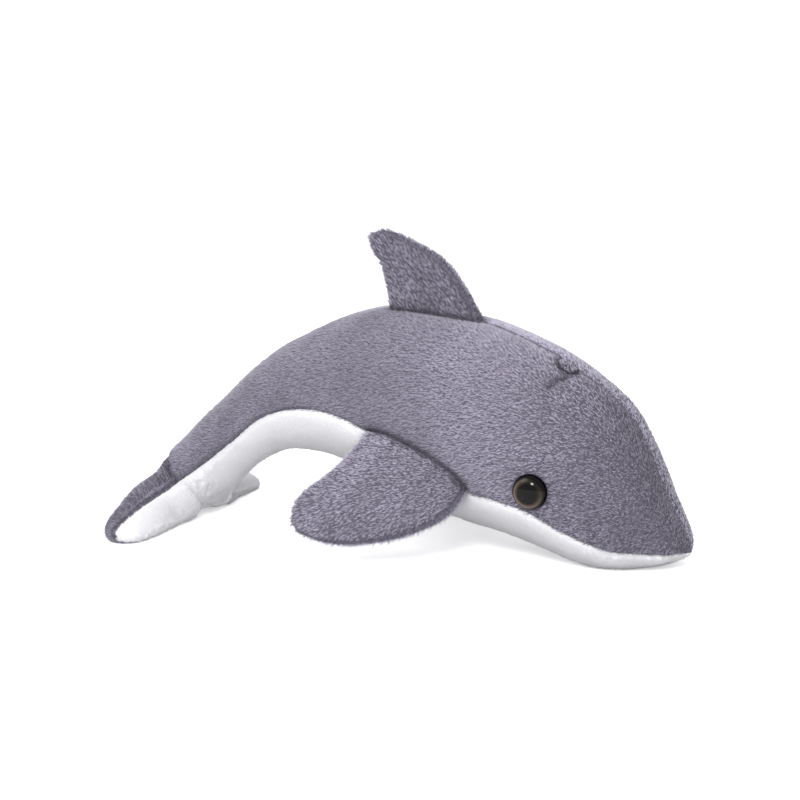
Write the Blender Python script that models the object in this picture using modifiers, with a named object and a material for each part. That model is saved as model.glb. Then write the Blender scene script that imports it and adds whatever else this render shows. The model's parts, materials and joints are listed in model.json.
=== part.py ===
"""Plush porpoise lying on its chin and its flukes, with an arched back.

Metres, +Z up. The nose points along +X and the animal's left side is +Y. The toy stands on
Z = 0, and the origin is the middle of its footprint. The body is a loft through sections
from the nose to the root of the tail. Every cloth panel is a shell cut from that loft, and
the stuffing, the fin, the flippers, the flukes and the eyes are fitted to the same loft.
"""
import math

import bmesh
import bpy
import numpy as np
from mathutils import Matrix, Vector

# Cloth and clearances
CLOTH = 0.0020
NOSE_SHARE = 0.4
SEAM_GAP = 0.0003
FILL_CLEARANCE = 0.0004
FIN_FILL_CLEARANCE = 0.0008
FLUKE_FILL_CLEARANCE = 0.0020
SEWN_EDGE = 0.0011

# Body sections from the nose to the root of the tail: the top of the section on the back
# (x, z), its bottom on the belly (x, z), half its width, the height of its widest level and
# of the side seam as shares of its depth, and the roundness of its upper half, where 2 is
# round and less is a ridge along the back.
SECTIONS = (
    # back x, back z, belly x, belly z, half width, widest, seam, roundness
    (0.1303, 0.0074, 0.1303, 0.0066, 0.0004, 0.50, 0.50, 2.00),
    (0.1296, 0.0106, 0.1276, 0.0048, 0.0075, 0.50, 0.36, 2.30),
    (0.1269, 0.0161, 0.1206, 0.0020, 0.0145, 0.48, 0.35, 2.40),
    (0.1207, 0.0279, 0.1105, -0.0006, 0.0215, 0.45, 0.30, 2.35),
    (0.1140, 0.0424, 0.1015, -0.0026, 0.0275, 0.43, 0.26, 2.30),
    (0.1060, 0.0568, 0.0920, -0.0024, 0.0318, 0.42, 0.25, 2.30),
    (0.0965, 0.0677, 0.0820, -0.0004, 0.0342, 0.42, 0.25, 2.50),
    (0.0804, 0.0784, 0.0680, 0.0038, 0.0362, 0.43, 0.27, 2.70),
    (0.0617, 0.0876, 0.0520, 0.0080, 0.0372, 0.44, 0.25, 2.65),
    (0.0382, 0.0951, 0.0340, 0.0115, 0.0372, 0.45, 0.235, 2.45),
    (0.0100, 0.0986, 0.0120, 0.0172, 0.0365, 0.46, 0.35, 2.25),
    (-0.0150, 0.0956, -0.0090, 0.0278, 0.0340, 0.47, 0.41, 2.20),
    (-0.0380, 0.0862, -0.0300, 0.0335, 0.0290, 0.48, 0.44, 2.15),
    (-0.0600, 0.0730, -0.0500, 0.0330, 0.0235, 0.50, 0.42, 2.10),
    (-0.0800, 0.0550, -0.0660, 0.0256, 0.0190, 0.50, 0.37, 2.00),
    (-0.0962, 0.0397, -0.0790, 0.0142, 0.0165, 0.50, 0.42, 2.00),
    (-0.1075, 0.0264, -0.0880, 0.0066, 0.0170, 0.50, 0.50, 2.00),
)
TAIL = len(SECTIONS) - 1
BODY_ROWS = 31
BACK_COLUMNS = 9
BELLY_COLUMNS = 9
FILL_START = 2.0
FILL_END_INSET = 0.0010

# Dorsal fin: pairs of leading and trailing points from inside the back to the tip
FIN_OUTLINE = (
    ((0.0420, 0.0, 0.0860), (-0.0020, 0.0, 0.0880)),
    ((0.0370, 0.0, 0.0960), (-0.0038, 0.0, 0.0975)),
    ((0.0300, 0.0, 0.1075), (-0.0052, 0.0, 0.1055)),
    ((0.0194, 0.0, 0.1194), (-0.0080, 0.0, 0.1157)),
    ((0.0048, 0.0, 0.1266), (-0.0124, 0.0, 0.1224)),
    ((-0.0072, 0.0, 0.1302), (-0.0140, 0.0, 0.1278)),
)
FIN_SWELL = (0.0062, 0.0058, 0.0048, 0.0038, 0.0026, 0.0012)
FIN_ROWS = 10
FIN_COLUMNS = 9
LEAST_FIN_FILLING = 4 * FIN_FILL_CLEARANCE

# Right flipper: it leaves the side seam and hangs back, outward and down
FLIPPER_OUTLINE = (
    ((0.0430, -0.0270, 0.0340), (0.0020, -0.0260, 0.0530)),
    ((0.0445, -0.0360, 0.0290), (0.0005, -0.0350, 0.0500)),
    ((0.0390, -0.0430, 0.0208), (-0.0018, -0.0430, 0.0444)),
    ((0.0237, -0.0510, 0.0135), (-0.0075, -0.0520, 0.0368)),
    ((0.0045, -0.0595, 0.0105), (-0.0152, -0.0605, 0.0298)),
    ((-0.0115, -0.0655, 0.0125), (-0.0185, -0.0660, 0.0222)),
)
FLIPPER_SWELL = (0.0060, 0.0056, 0.0050, 0.0044, 0.0034, 0.0014)

# Flukes: pairs of leading and trailing points from the middle out to the left tip. They lie
# a little to the animal's right.
FLUKE_OUTLINE = (
    ((-0.1035, 0.0000, 0.0205), (-0.0945, 0.0000, 0.0026)),
    ((-0.1014, 0.0140, 0.0176), (-0.0928, 0.0140, 0.0012)),
    ((-0.1032, 0.0280, 0.0138), (-0.0918, 0.0280, 0.0012)),
    ((-0.1050, 0.0420, 0.0090), (-0.0916, 0.0420, 0.0012)),
    ((-0.1054, 0.0528, 0.0052), (-0.0928, 0.0532, 0.0012)),
    ((-0.1046, 0.0594, 0.0024), (-0.0988, 0.0600, 0.0012)),
)
FLUKE_SHIFT = -0.0050
FLUKE_TOP_SWELL = (0.0115, 0.0115, 0.0112, 0.0100, 0.0080, 0.0035)
FLUKE_UNDER_SWELL = (0.0035, 0.0035, 0.0032, 0.0028, 0.0022, 0.0010)
FLUKE_CROWN = 1.35
FLUKE_ROWS = 19
FLUKE_COLUMNS = 8

# Safety eye: a domed head on a stem that passes through the cloth into a washer
EYE_PLACE = (0.0741, 0.0345)
EYE_DIAMETER = 0.0145
EYE_DOME_HEIGHT = 0.0054
EYE_EDGE = 0.0010
EYE_SEAT = 0.0008
STEM_DIAMETER = 0.0040
STEM_LENGTH = 0.0080
WASHER_DIAMETER = 0.0120
WASHER_THICKNESS = 0.0014
WASHER_SETTLE = 0.0012
EYE_STEPS = 20
WASHER_STEPS = 16
DOME_POINTS = 7

# Blowhole: a small oval of darker cloth on the back seam
BLOWHOLE_STATION = 7.25
BLOWHOLE_LENGTH = 0.0085
BLOWHOLE_WIDTH = 0.0075
BLOWHOLE_RISE = 0.0010
BLOWHOLE_SEGMENTS = 16

# Finishes of the toy: colour, roughness and sheen
FINISHES = {
    "grey_plush": ((0.23, 0.21, 0.26), 0.95, 0.4),
    "white_plush": ((0.82, 0.82, 0.84), 0.95, 0.4),
    "dark_plush": ((0.12, 0.11, 0.14), 0.95, 0.4),
    "filling": ((0.88, 0.88, 0.86), 1.0, 0.0),
    "eye_plastic": ((0.02, 0.015, 0.012), 0.08, 0.0),
    "washer_plastic": ((0.75, 0.75, 0.72), 0.45, 0.0),
}
SHARP_ANGLE = math.radians(50)

# Step of a slope taken along the body, widest share of half a section that the centre seam
# takes up, distance at which turned corners merge, and tries at placing an eye
TINY = 1e-3
WIDEST_SEAM_SHARE = 0.9
MERGE_DISTANCE = 0.00001
PLACING_TRIES = 40


def material(name, finish):
    """A plain finish of one colour, made for one sub-part."""
    colour, roughness, sheen = FINISHES[finish]
    made = bpy.data.materials.new(name)
    made.use_nodes = True
    shader = made.node_tree.nodes["Principled BSDF"]
    shader.inputs["Base Color"].default_value = (*colour, 1.0)
    shader.inputs["Roughness"].default_value = roughness
    shader.inputs["Sheen Weight"].default_value = sheen
    made.diffuse_color = (*colour, 1.0)
    return made


def along(values, t):
    """Smooth curve through one value for each section, read t sections from the first."""
    values = np.asarray(values, dtype=float)
    last = len(values) - 1
    t = np.clip(np.asarray(t, dtype=float), 0.0, last)
    before = np.minimum(t.astype(int), last - 1)
    f = t - before
    slope = np.gradient(values)
    rise = values[before + 1] - values[before]
    return (
        values[before]
        + f * slope[before]
        + f * f * (3 * rise - 2 * slope[before] - slope[before + 1])
        + f ** 3 * (slope[before] + slope[before + 1] - 2 * rise)
    )


def section(t):
    """The eight values of the body's section at t."""
    return [along(column, t) for column in zip(*SECTIONS)]


def body_point(t, angle):
    """Point on the body at section t and an angle from the back seam, positive to the left."""
    back_x, back_z, belly_x, belly_z, half_width, widest, _, roundness = section(t)
    cosine = np.cos(angle)
    sine = np.sin(angle)
    level = widest + np.where(cosine > 0, (1 - widest) * cosine, widest * cosine)
    power = np.where(cosine > 0, 2 / roundness, 1.0)
    across = half_width * np.sign(sine) * np.abs(sine) ** power
    x = belly_x + level * (back_x - belly_x)
    z = belly_z + level * (back_z - belly_z)
    return np.stack([x, across, np.maximum(z, 0.0)], axis=-1)


def body_normal(t, angle):
    """Outward direction of the body, in the centre plane along its back and belly."""
    t, angle = np.broadcast_arrays(np.asarray(t, float), np.asarray(angle, float))
    run = body_point(np.minimum(t + TINY, TAIL), angle) - body_point(np.maximum(t - TINY, 0), angle)
    turn = body_point(t, angle + TINY) - body_point(t, angle - TINY)
    out = np.cross(turn, run)
    centred = np.abs(np.sin(angle)) < TINY
    out[..., 1] = np.where(centred, 0.0, out[..., 1])
    nose = centre_line(0.0) - centre_line(1.0)
    out = np.where((t < TINY)[..., None], nose, out)
    return out / np.linalg.norm(out, axis=-1, keepdims=True)


def centre_line(t):
    """Middle of the section at t."""
    back_x, back_z, belly_x, belly_z = section(t)[:4]
    return np.array([(back_x + belly_x) / 2, 0.0, (back_z + belly_z) / 2])


def body_offset(t, angle, depth):
    """Point under the body's surface, or outside it where the depth is negative."""
    return body_point(t, angle) - depth * body_normal(t, angle)


def seam_angle(t):
    """Angle of the side seam between the grey back and the white belly."""
    widest, seam = section(t)[5:7]
    above = (seam - widest) / (1 - widest)
    below = (seam - widest) / widest
    return np.arccos(np.clip(np.where(seam > widest, above, below), -1, 1))


def back_edge_angle(t):
    """Angle at which a back panel stops short of the centre seam."""
    half_width, roundness = section(t)[4], section(t)[7]
    share = np.clip(SEAM_GAP / 2 / half_width, 0, WIDEST_SEAM_SHARE)
    return np.arcsin(share ** (roundness / 2))


def side_edge_shift(t):
    """Angle that half a seam gap takes up at the side seam."""
    angle = seam_angle(t)
    reach = np.linalg.norm(body_point(t, angle + TINY) - body_point(t, angle - TINY), axis=-1)
    return SEAM_GAP / 2 / (reach / (2 * TINY))


def spaced(first, last, count):
    """Rows of evenly spaced angles between two edges that change along the body."""
    share = np.linspace(0, 1, count)
    return first[:, None] + (last - first)[:, None] * share[None, :]


def new_object(name, mesh, collection, finish=None):
    """Object of a mesh in one of the collections, with its own finish."""
    made = bpy.data.objects.new(name, mesh)
    collection.objects.link(made)
    if finish:
        mesh.materials.append(material(name + "_finish", finish))
    return made


def add_quad(shape, one, two, three, four):
    """Two triangles over four corners, split alike on pieces that lie on one another.

    The split is mirrored on the right-hand side, so that both sides of the toy match.
    """
    corners = (one, two, three, four)
    if sum(corner.co.y for corner in corners) < -TINY * TINY:
        shape.faces.new((one, two, four))
        shape.faces.new((two, three, four))
    else:
        shape.faces.new((one, two, three))
        shape.faces.new((one, three, four))


def grid_mesh(name, front, back):
    """Closed solid between two grids of points, joined round their four edges."""
    rows, columns = front.shape[:2]
    shape = bmesh.new()
    near = [[shape.verts.new(p) for p in row] for row in front]
    far = [[shape.verts.new(p) for p in row] for row in back]
    for side in (near, far):
        for one, two in zip(side, side[1:]):
            for j in range(columns - 1):
                add_quad(shape, one[j], one[j + 1], two[j + 1], two[j])
    rim = [(0, j) for j in range(columns)]
    rim += [(i, columns - 1) for i in range(1, rows)]
    rim += [(rows - 1, j) for j in range(columns - 2, -1, -1)]
    rim += [(i, 0) for i in range(rows - 2, 0, -1)]
    for (i, j), (k, m) in zip(rim, rim[1:] + rim[:1]):
        shape.faces.new((near[k][m], near[i][j], far[i][j], far[k][m]))
    return outward_mesh(name, shape)


def ring_mesh(name, rings):
    """Closed solid through rings of points, with a pole in the middle of each end."""
    shape = bmesh.new()
    loops = [[shape.verts.new(p) for p in ring] for ring in rings]
    count = len(loops[0])
    for one, two in zip(loops, loops[1:]):
        for j in range(count):
            k = (j + 1) % count
            add_quad(shape, one[j], one[k], two[k], two[j])
    for ring, loop in ((rings[0], loops[0]), (rings[-1], loops[-1])):
        pole = shape.verts.new(np.mean(ring, axis=0))
        for j in range(count):
            shape.faces.new((loop[j], pole, loop[(j + 1) % count]))
    return outward_mesh(name, shape)


def outward_mesh(name, shape):
    """Mesh of a closed shape whose faces all point out, shaded smooth apart from its edges."""
    bmesh.ops.recalc_face_normals(shape, faces=shape.faces)
    mesh = bpy.data.meshes.new(name)
    shape.to_mesh(mesh)
    shape.free()
    mesh.shade_smooth()
    mesh.set_sharp_from_angle(angle=SHARP_ANGLE)
    return mesh


def cut(target, cutter):
    """Takes the cutter's space out of the target."""
    tool = target.modifiers.new("cut by " + cutter.name, "BOOLEAN")
    tool.operation = "DIFFERENCE"
    tool.solver = "EXACT"
    tool.object = cutter


def body_panel(name, angles, stations, collection, finish):
    """Cloth panel over a stretch of the body between two seams."""
    t = stations[:, None]
    outer = body_point(t, angles)
    half_width = section(t)[4]
    inner = body_offset(t, angles, np.minimum(CLOTH, half_width * NOSE_SHARE)[..., None])
    # The inside of a back panel keeps to its own side of the centre seam.
    side = np.sign(outer[..., 1])
    one_sided = np.abs(side.sum()) == side.size
    if one_sided:
        inner[..., 1] = side * np.maximum(side * inner[..., 1], SEAM_GAP / 2)
    return new_object(name, grid_mesh(name, outer, inner), collection, finish)


def panel_angles(stations):
    """Columns of the left back panel and of the belly panel at each section."""
    seam = seam_angle(stations)
    shift = side_edge_shift(stations)
    back = spaced(back_edge_angle(stations), seam - shift, BACK_COLUMNS)
    belly = spaced(seam + shift, 2 * math.pi - seam - shift, BELLY_COLUMNS)
    return back, belly


def body_rings(stations, depth):
    """Closed rings round the body at a depth, on the same columns as the panels."""
    back, belly = panel_angles(stations)
    angles = np.concatenate([back, belly, 2 * math.pi - back[:, ::-1]], axis=1)
    return body_offset(stations[:, None], angles, depth)


def add_body(toy, cutters):
    """The three cloth panels of the body, its filling, and the cutter for what is sewn on."""
    stations = np.linspace(0, TAIL, BODY_ROWS)
    back, belly = panel_angles(stations)
    left = body_panel("back_panel_left", back, stations, toy, "grey_plush")
    right = body_panel("back_panel_right", 2 * math.pi - back[:, ::-1], stations, toy,
                       "grey_plush")
    under = body_panel("belly_panel", belly, stations, toy, "white_plush")

    along_tail = centre_line(TAIL) - centre_line(TAIL - 1)
    along_tail = along_tail / np.linalg.norm(along_tail)
    fill_rows = np.append(stations[(stations >= FILL_START) & (stations < TAIL)], TAIL)
    rings = body_rings(fill_rows, CLOTH + FILL_CLEARANCE)
    rings[-1] = rings[-1] - along_tail * FILL_END_INSET
    filling = new_object("body_stuffing", ring_mesh("body_stuffing", rings), toy, "filling")

    rings = body_rings(stations, -SEAM_GAP)
    rings[-1] = rings[-1] + along_tail * SEAM_GAP
    cutter = new_object("body_clearance", ring_mesh("body_clearance", rings), cutters)
    return left, right, under, filling, cutter


def outline_curve(outline, u):
    """Leading and trailing points of a fin at u rows from its root."""
    points = np.asarray(outline, dtype=float)
    lead = np.stack([along(points[:, 0, k], u) for k in range(3)], axis=-1)
    trail = np.stack([along(points[:, 1, k], u) for k in range(3)], axis=-1)
    return lead, trail


def lens_frame(outline, rows, turn):
    """Middle points of a padded fin, its chord there and the way its first cloth faces.

    Each row turns from 0 on the leading edge to half a circle on the trailing edge.
    """
    def middle(u):
        lead, trail = outline_curve(outline, u)
        return (lead + trail) / 2 - np.cos(turn)[..., None] * (trail - lead) / 2

    last = len(outline) - 1
    span = middle(np.minimum(rows + TINY, last)) - middle(np.maximum(rows - TINY, 0))
    lead, trail = outline_curve(outline, rows)
    chord = unit(trail - lead)
    return middle(rows), chord, unit(np.cross(chord, span))


def unit(vectors):
    """The vectors at length one."""
    return vectors / np.linalg.norm(vectors, axis=-1, keepdims=True)


def flat_cloth(outline, rows, turn, swell, way, depth, least=SEAM_GAP / 2):
    """Cloth that stands out square to the chord, or the surface at a depth under it."""
    middle, _, face = lens_frame(outline, rows, turn)
    out = SEWN_EDGE + along(swell, rows) * np.sin(turn) - depth
    out = np.maximum(out, least)
    return above_ground(middle + way * face * out[..., None])


def crowned_cloth(outline, rows, turn, swell, depth):
    """Cloth that also rises over the leading edge, where its seam lies on the front."""
    def outer(u, angle):
        middle, chord, face = lens_frame(outline, u, angle)
        near_lead = (1 + np.cos(angle)) / 2
        bulge = along(swell, u) * np.sin(angle)
        back = bulge * (1 - near_lead ** 2) - SEWN_EDGE * np.cos(angle)
        over = FLUKE_CROWN * bulge * near_lead + 2 * SEAM_GAP * near_lead
        return middle - face * back[..., None] - chord * over[..., None]

    last = len(outline) - 1
    along_span = outer(np.minimum(rows + TINY, last), turn) - outer(np.maximum(rows - TINY, 0), turn)
    along_turn = outer(rows, turn + TINY) - outer(rows, turn - TINY)
    out = unit(np.cross(along_span, along_turn))
    thin = np.minimum(along(swell, rows) / (2 * CLOTH), 1)
    under = outer(rows, turn) - out * (depth * thin)[..., None]
    if depth > 0:
        middle, _, face = lens_frame(outline, rows, turn)
        trailing = turn > math.pi - TINY
        under = np.where(trailing[..., None], middle - face * SEAM_GAP / 2, under)
    sole = depth * (1 - ((1 - np.cos(turn)) / 2) ** 4)
    under[..., 2] = np.maximum(under[..., 2], sole)
    return under


def above_ground(points):
    """Points pressed flat where they meet what the toy lies on."""
    points = points.copy()
    points[..., 2] = np.maximum(points[..., 2], 0.0)
    return points


def mirrored(points, side):
    """Points of a right-hand piece, or of its twin on the left."""
    return points * np.array([1.0, 1.0 if side < 0 else -1.0, 1.0])


def add_padded_fin(names, row_count, columns, last, cloths, toy, side=-1,
                   looks=("grey_plush", "grey_plush"), clearance=FIN_FILL_CLEARANCE):
    """Two cloth panels sewn round their edge, with a thin filling between them.

    Each of the two cloths gives its surface for rows, turns round the section and a depth.
    """
    rows, turn = np.meshgrid(np.linspace(0, last, row_count),
                             np.linspace(0, math.pi, columns), indexing="ij")
    pieces = []
    for name, cloth, look in zip(names, cloths, looks):
        outer, inner = cloth(rows, turn, 0.0), cloth(rows, turn, CLOTH)
        mesh = grid_mesh(name, mirrored(outer, side), mirrored(inner, side))
        pieces.append(new_object(name, mesh, toy, look))

    # The filling stops where the two cloths come together.
    halfway = [cloth(rows[:, 0], np.full(row_count, math.pi / 2), CLOTH) for cloth in cloths]
    room = np.linalg.norm(halfway[0] - halfway[1], axis=-1)
    full = room > LEAST_FIN_FILLING
    rows, turn = rows[full, 1:-1], turn[full, 1:-1]
    front, back = (mirrored(cloth(rows, turn, CLOTH + clearance), side)
                   for cloth in cloths)
    pieces.append(new_object(names[2], grid_mesh(names[2], front, back), toy, "filling"))
    return pieces


def lens_cloths(outline, swell):
    """The two cloths of a fin that is alike on both sides."""
    return [lambda rows, turn, depth, way=way:
            flat_cloth(outline, rows, turn, swell, way, depth) for way in (1, -1)]


def add_dorsal_fin(toy, body_cutter):
    """The fin on the back, cut to the body it is sewn to."""
    names = ("dorsal_fin_left_panel", "dorsal_fin_right_panel", "dorsal_fin_stuffing")
    cloths = lens_cloths(FIN_OUTLINE, FIN_SWELL)
    for piece in add_padded_fin(names, FIN_ROWS, FIN_COLUMNS, len(FIN_OUTLINE) - 1, cloths,
                                toy):
        cut(piece, body_cutter)


def add_flippers(toy, body_cutter):
    """A padded flipper on each side, cut to the body."""
    cloths = lens_cloths(FLIPPER_OUTLINE, FLIPPER_SWELL)
    last = len(FLIPPER_OUTLINE) - 1
    for label, side in (("right", -1), ("left", 1)):
        names = tuple(f"flipper_{label}_{piece}" for piece in
                      ("upper_panel", "lower_panel", "stuffing"))
        for piece in add_padded_fin(names, FIN_ROWS, FIN_COLUMNS, last, cloths, toy, side):
            cut(piece, body_cutter)


def both_halves(half):
    """Values from the right tip through the middle to the left tip."""
    return half[:0:-1] + half


def add_flukes(toy, body_cutter):
    """The tail flukes, grey above and white below, with the tail's end let into them."""
    left = np.asarray(FLUKE_OUTLINE)
    right = left[:0:-1] * np.array([1.0, -1.0, 1.0])
    outline = np.concatenate([right, left]) + np.array([0.0, FLUKE_SHIFT, 0.0])
    under = both_halves(FLUKE_UNDER_SWELL)
    top = both_halves(FLUKE_TOP_SWELL)

    def under_cloth(rows, turn, depth):
        # The filling stands back from the front, where the grey cloth turns over the edge.
        least = SEAM_GAP / 2 if depth <= CLOTH else -CLOTH
        return flat_cloth(outline, rows, turn, under, 1, depth, least)

    def top_cloth(rows, turn, depth):
        return crowned_cloth(outline, rows, turn, top, depth)

    names = ("flukes_under_panel", "flukes_top_panel", "flukes_stuffing")
    for piece in add_padded_fin(names, FLUKE_ROWS, FLUKE_COLUMNS, len(outline) - 1,
                                (under_cloth, top_cloth), toy,
                                looks=("white_plush", "grey_plush"),
                                clearance=FLUKE_FILL_CLEARANCE):
        cut(piece, body_cutter)


def turned(name, profile, collection, steps, finish=None):
    """Solid turned round Z from a profile of (radius, height) points, top to bottom."""
    mesh = bpy.data.meshes.new(name)
    points = [(radius, 0.0, height) for radius, height in profile]
    edges = [(i, i + 1) for i in range(len(points) - 1)]
    if profile[0][0] > 0:
        edges.append((len(points) - 1, 0))
    mesh.from_pydata(points, edges, [])
    made = new_object(name, mesh, collection, finish)
    screw = made.modifiers.new("turn", "SCREW")
    screw.steps = steps
    screw.render_steps = steps
    screw.use_merge_vertices = True
    screw.merge_threshold = MERGE_DISTANCE
    screw.use_smooth_shade = True
    return made


def eye_profile(clearance):
    """Outline of the eye from the top of its dome to the end of its stem."""
    radius = EYE_DIAMETER / 2 + clearance
    dome = EYE_DOME_HEIGHT - EYE_EDGE + clearance
    arc = np.linspace(0, math.pi / 2, DOME_POINTS)
    points = [(radius * math.sin(a), EYE_EDGE + dome * math.cos(a)) for a in arc]
    stem = STEM_DIAMETER / 2 + clearance
    points += [(radius, -clearance), (stem, -clearance)]
    points += [(stem, -STEM_LENGTH - clearance), (0.0, -STEM_LENGTH - clearance)]
    return points


def eye_angle_and_station():
    """Section and angle of the body where the eye's middle lies."""
    t, angle = 6.0, math.pi / 2
    for _ in range(PLACING_TRIES):
        here = body_point(t, angle)[[0, 2]]
        run = (body_point(t + TINY, angle)[[0, 2]] - here) / TINY
        turn = (body_point(t, angle + TINY)[[0, 2]] - here) / TINY
        step = np.linalg.solve(np.column_stack([run, turn]), np.array(EYE_PLACE) - here)
        t, angle = t + step[0] / 2, angle + step[1] / 2
    return float(t), float(angle)


def frame_on_body(t, angle, sink):
    """Frame whose Z is the body's outward direction, sunk below the surface by a depth."""
    normal = Vector(body_normal(t, angle))
    place = Vector(body_point(t, angle)) - normal * sink
    turn = normal.to_track_quat("Z", "Y").to_matrix().to_4x4()
    return Matrix.Translation(place) @ turn


def add_eyes(toy, cutters, panels, filling):
    """Glossy eyes seated in the cloth, each held by a washer inside the head."""
    station, angle = eye_angle_and_station()
    washer_depth = CLOTH + WASHER_SETTLE - EYE_SEAT
    bore = STEM_DIAMETER / 2 + SEAM_GAP
    rim = WASHER_DIAMETER / 2
    washer = [(rim, -washer_depth), (rim, -washer_depth - WASHER_THICKNESS),
              (bore, -washer_depth - WASHER_THICKNESS), (bore, -washer_depth)]
    pocket = [(0.0, EYE_DOME_HEIGHT), (rim + SEAM_GAP, EYE_DOME_HEIGHT),
              (rim + SEAM_GAP, -STEM_LENGTH - SEAM_GAP), (0.0, -STEM_LENGTH - SEAM_GAP)]
    for label, side in (("right", -1), ("left", 1)):
        place = frame_on_body(station, side * angle, EYE_SEAT)
        eye = turned(f"eye_{label}", eye_profile(0.0), toy, EYE_STEPS, "eye_plastic")
        ring = turned(f"eye_washer_{label}", washer, toy, WASHER_STEPS, "washer_plastic")
        seat = turned(f"eye_seat_{label}", eye_profile(SEAM_GAP), cutters, EYE_STEPS)
        hollow = turned(f"washer_pocket_{label}", pocket, cutters, WASHER_STEPS)
        for piece in (eye, ring, seat, hollow):
            piece.matrix_world = place
        cut(panels[label], seat)
        cut(filling, hollow)


def add_blowhole(toy, body_cutter):
    """A low oval of darker cloth on the back seam, cut to the back below it."""
    bpy.ops.mesh.primitive_uv_sphere_add(segments=BLOWHOLE_SEGMENTS,
                                         ring_count=BLOWHOLE_SEGMENTS // 2, radius=0.5)
    patch = bpy.context.object
    patch.name = "blowhole"
    patch.data.name = "blowhole"
    size = Matrix.Diagonal((BLOWHOLE_WIDTH, BLOWHOLE_LENGTH, 2 * BLOWHOLE_RISE + 2 * SEAM_GAP, 1))
    patch.data.transform(size)
    patch.data.shade_smooth()
    patch.matrix_world = frame_on_body(BLOWHOLE_STATION, 0.0, 0.0)
    for holder in list(patch.users_collection):
        holder.objects.unlink(patch)
    toy.objects.link(patch)
    patch.data.materials.append(material("blowhole_finish", "dark_plush"))
    cut(patch, body_cutter)


def stand_on_origin(toy, cutters):
    """Hangs every piece on one empty and moves it so that the footprint is centred."""
    holder = bpy.data.objects.new("porpoise", None)
    toy.objects.link(holder)
    pieces = [piece for piece in toy.objects if piece.type == "MESH"]
    for piece in pieces + list(cutters.objects):
        piece.parent = holder
    bpy.context.view_layer.update()
    graph = bpy.context.evaluated_depsgraph_get()
    ends = []
    for piece in pieces:
        ready = piece.evaluated_get(graph)
        ends += [ready.matrix_world @ Vector(corner) for corner in ready.bound_box]
    for axis in (0, 1):
        values = [end[axis] for end in ends]
        holder.location[axis] = -(min(values) + max(values)) / 2


def main():
    """Builds the toy in an empty scene."""
    for old in list(bpy.data.objects):
        bpy.data.objects.remove(old, do_unlink=True)
    toy = bpy.data.collections.new("plush_porpoise")
    cutters = bpy.data.collections.new("cutters")
    bpy.context.scene.collection.children.link(toy)
    bpy.context.scene.collection.children.link(cutters)

    left, right, _, filling, body_cutter = add_body(toy, cutters)
    add_dorsal_fin(toy, body_cutter)
    add_flippers(toy, body_cutter)
    add_flukes(toy, body_cutter)
    add_eyes(toy, cutters, {"left": left, "right": right}, filling)
    add_blowhole(toy, body_cutter)
    for tool in cutters.objects:
        tool.hide_render = True
        tool.display_type = "WIRE"
    stand_on_origin(toy, cutters)


main()
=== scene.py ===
# %% [markdown]
# # Looks of a plush porpoise
# The toy is sewn from short pile cloth over a filling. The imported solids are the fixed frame.
# Over them go fine skins with sewn seams, and on the skins a short pile of combed tufts. A bump
# in the material could stand for the pile, but it would leave the outline bare. The numbers
# that shape the body and the fins are those of the solids, so that the skins fit them.

import json
import math

import bpy
import numpy as np
from mathutils import Matrix, Vector
from mathutils.bvhtree import BVHTree

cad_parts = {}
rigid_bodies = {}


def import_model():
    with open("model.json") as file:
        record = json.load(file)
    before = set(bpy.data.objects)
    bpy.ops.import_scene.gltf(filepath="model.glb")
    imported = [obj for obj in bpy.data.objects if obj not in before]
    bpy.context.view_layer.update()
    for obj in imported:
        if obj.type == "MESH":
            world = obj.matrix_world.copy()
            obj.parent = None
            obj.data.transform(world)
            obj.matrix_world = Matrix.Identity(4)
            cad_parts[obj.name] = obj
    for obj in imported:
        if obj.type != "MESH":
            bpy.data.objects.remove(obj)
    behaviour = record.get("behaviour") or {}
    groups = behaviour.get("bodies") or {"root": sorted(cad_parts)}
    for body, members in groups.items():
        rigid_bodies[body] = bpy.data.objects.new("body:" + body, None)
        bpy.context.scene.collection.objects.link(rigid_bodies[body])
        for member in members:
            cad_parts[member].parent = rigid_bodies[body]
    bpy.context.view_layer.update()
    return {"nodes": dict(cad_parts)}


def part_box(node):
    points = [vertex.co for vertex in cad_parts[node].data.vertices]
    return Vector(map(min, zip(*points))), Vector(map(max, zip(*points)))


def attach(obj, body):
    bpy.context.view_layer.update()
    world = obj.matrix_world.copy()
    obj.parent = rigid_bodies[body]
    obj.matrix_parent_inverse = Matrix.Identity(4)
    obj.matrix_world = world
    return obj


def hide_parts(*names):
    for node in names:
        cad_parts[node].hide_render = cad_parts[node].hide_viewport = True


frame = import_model()
scene = bpy.context.scene
for stray in [o for o in scene.objects if o.name in ("Cube", "Light", "Camera")]:
    bpy.data.objects.remove(stray, do_unlink=True)


def new_object(name, data):
    """Object in the scene for a mesh, a lamp or a camera."""
    made = bpy.data.objects.new(name, data)
    scene.collection.objects.link(made)
    return made


print("solids loaded:", len(frame["nodes"]))

# %% [markdown]
# ## The body's shape
# The real body is three panels of cloth over a filling. It could be sculpted, but then it
# would stray from the solids. So it is a loft through sections from the nose to the root of the
# tail. Each section has its top on the back and its bottom on the belly, both in the centre
# plane, and half a width. A Hermite curve runs through each column of the table.

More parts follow.
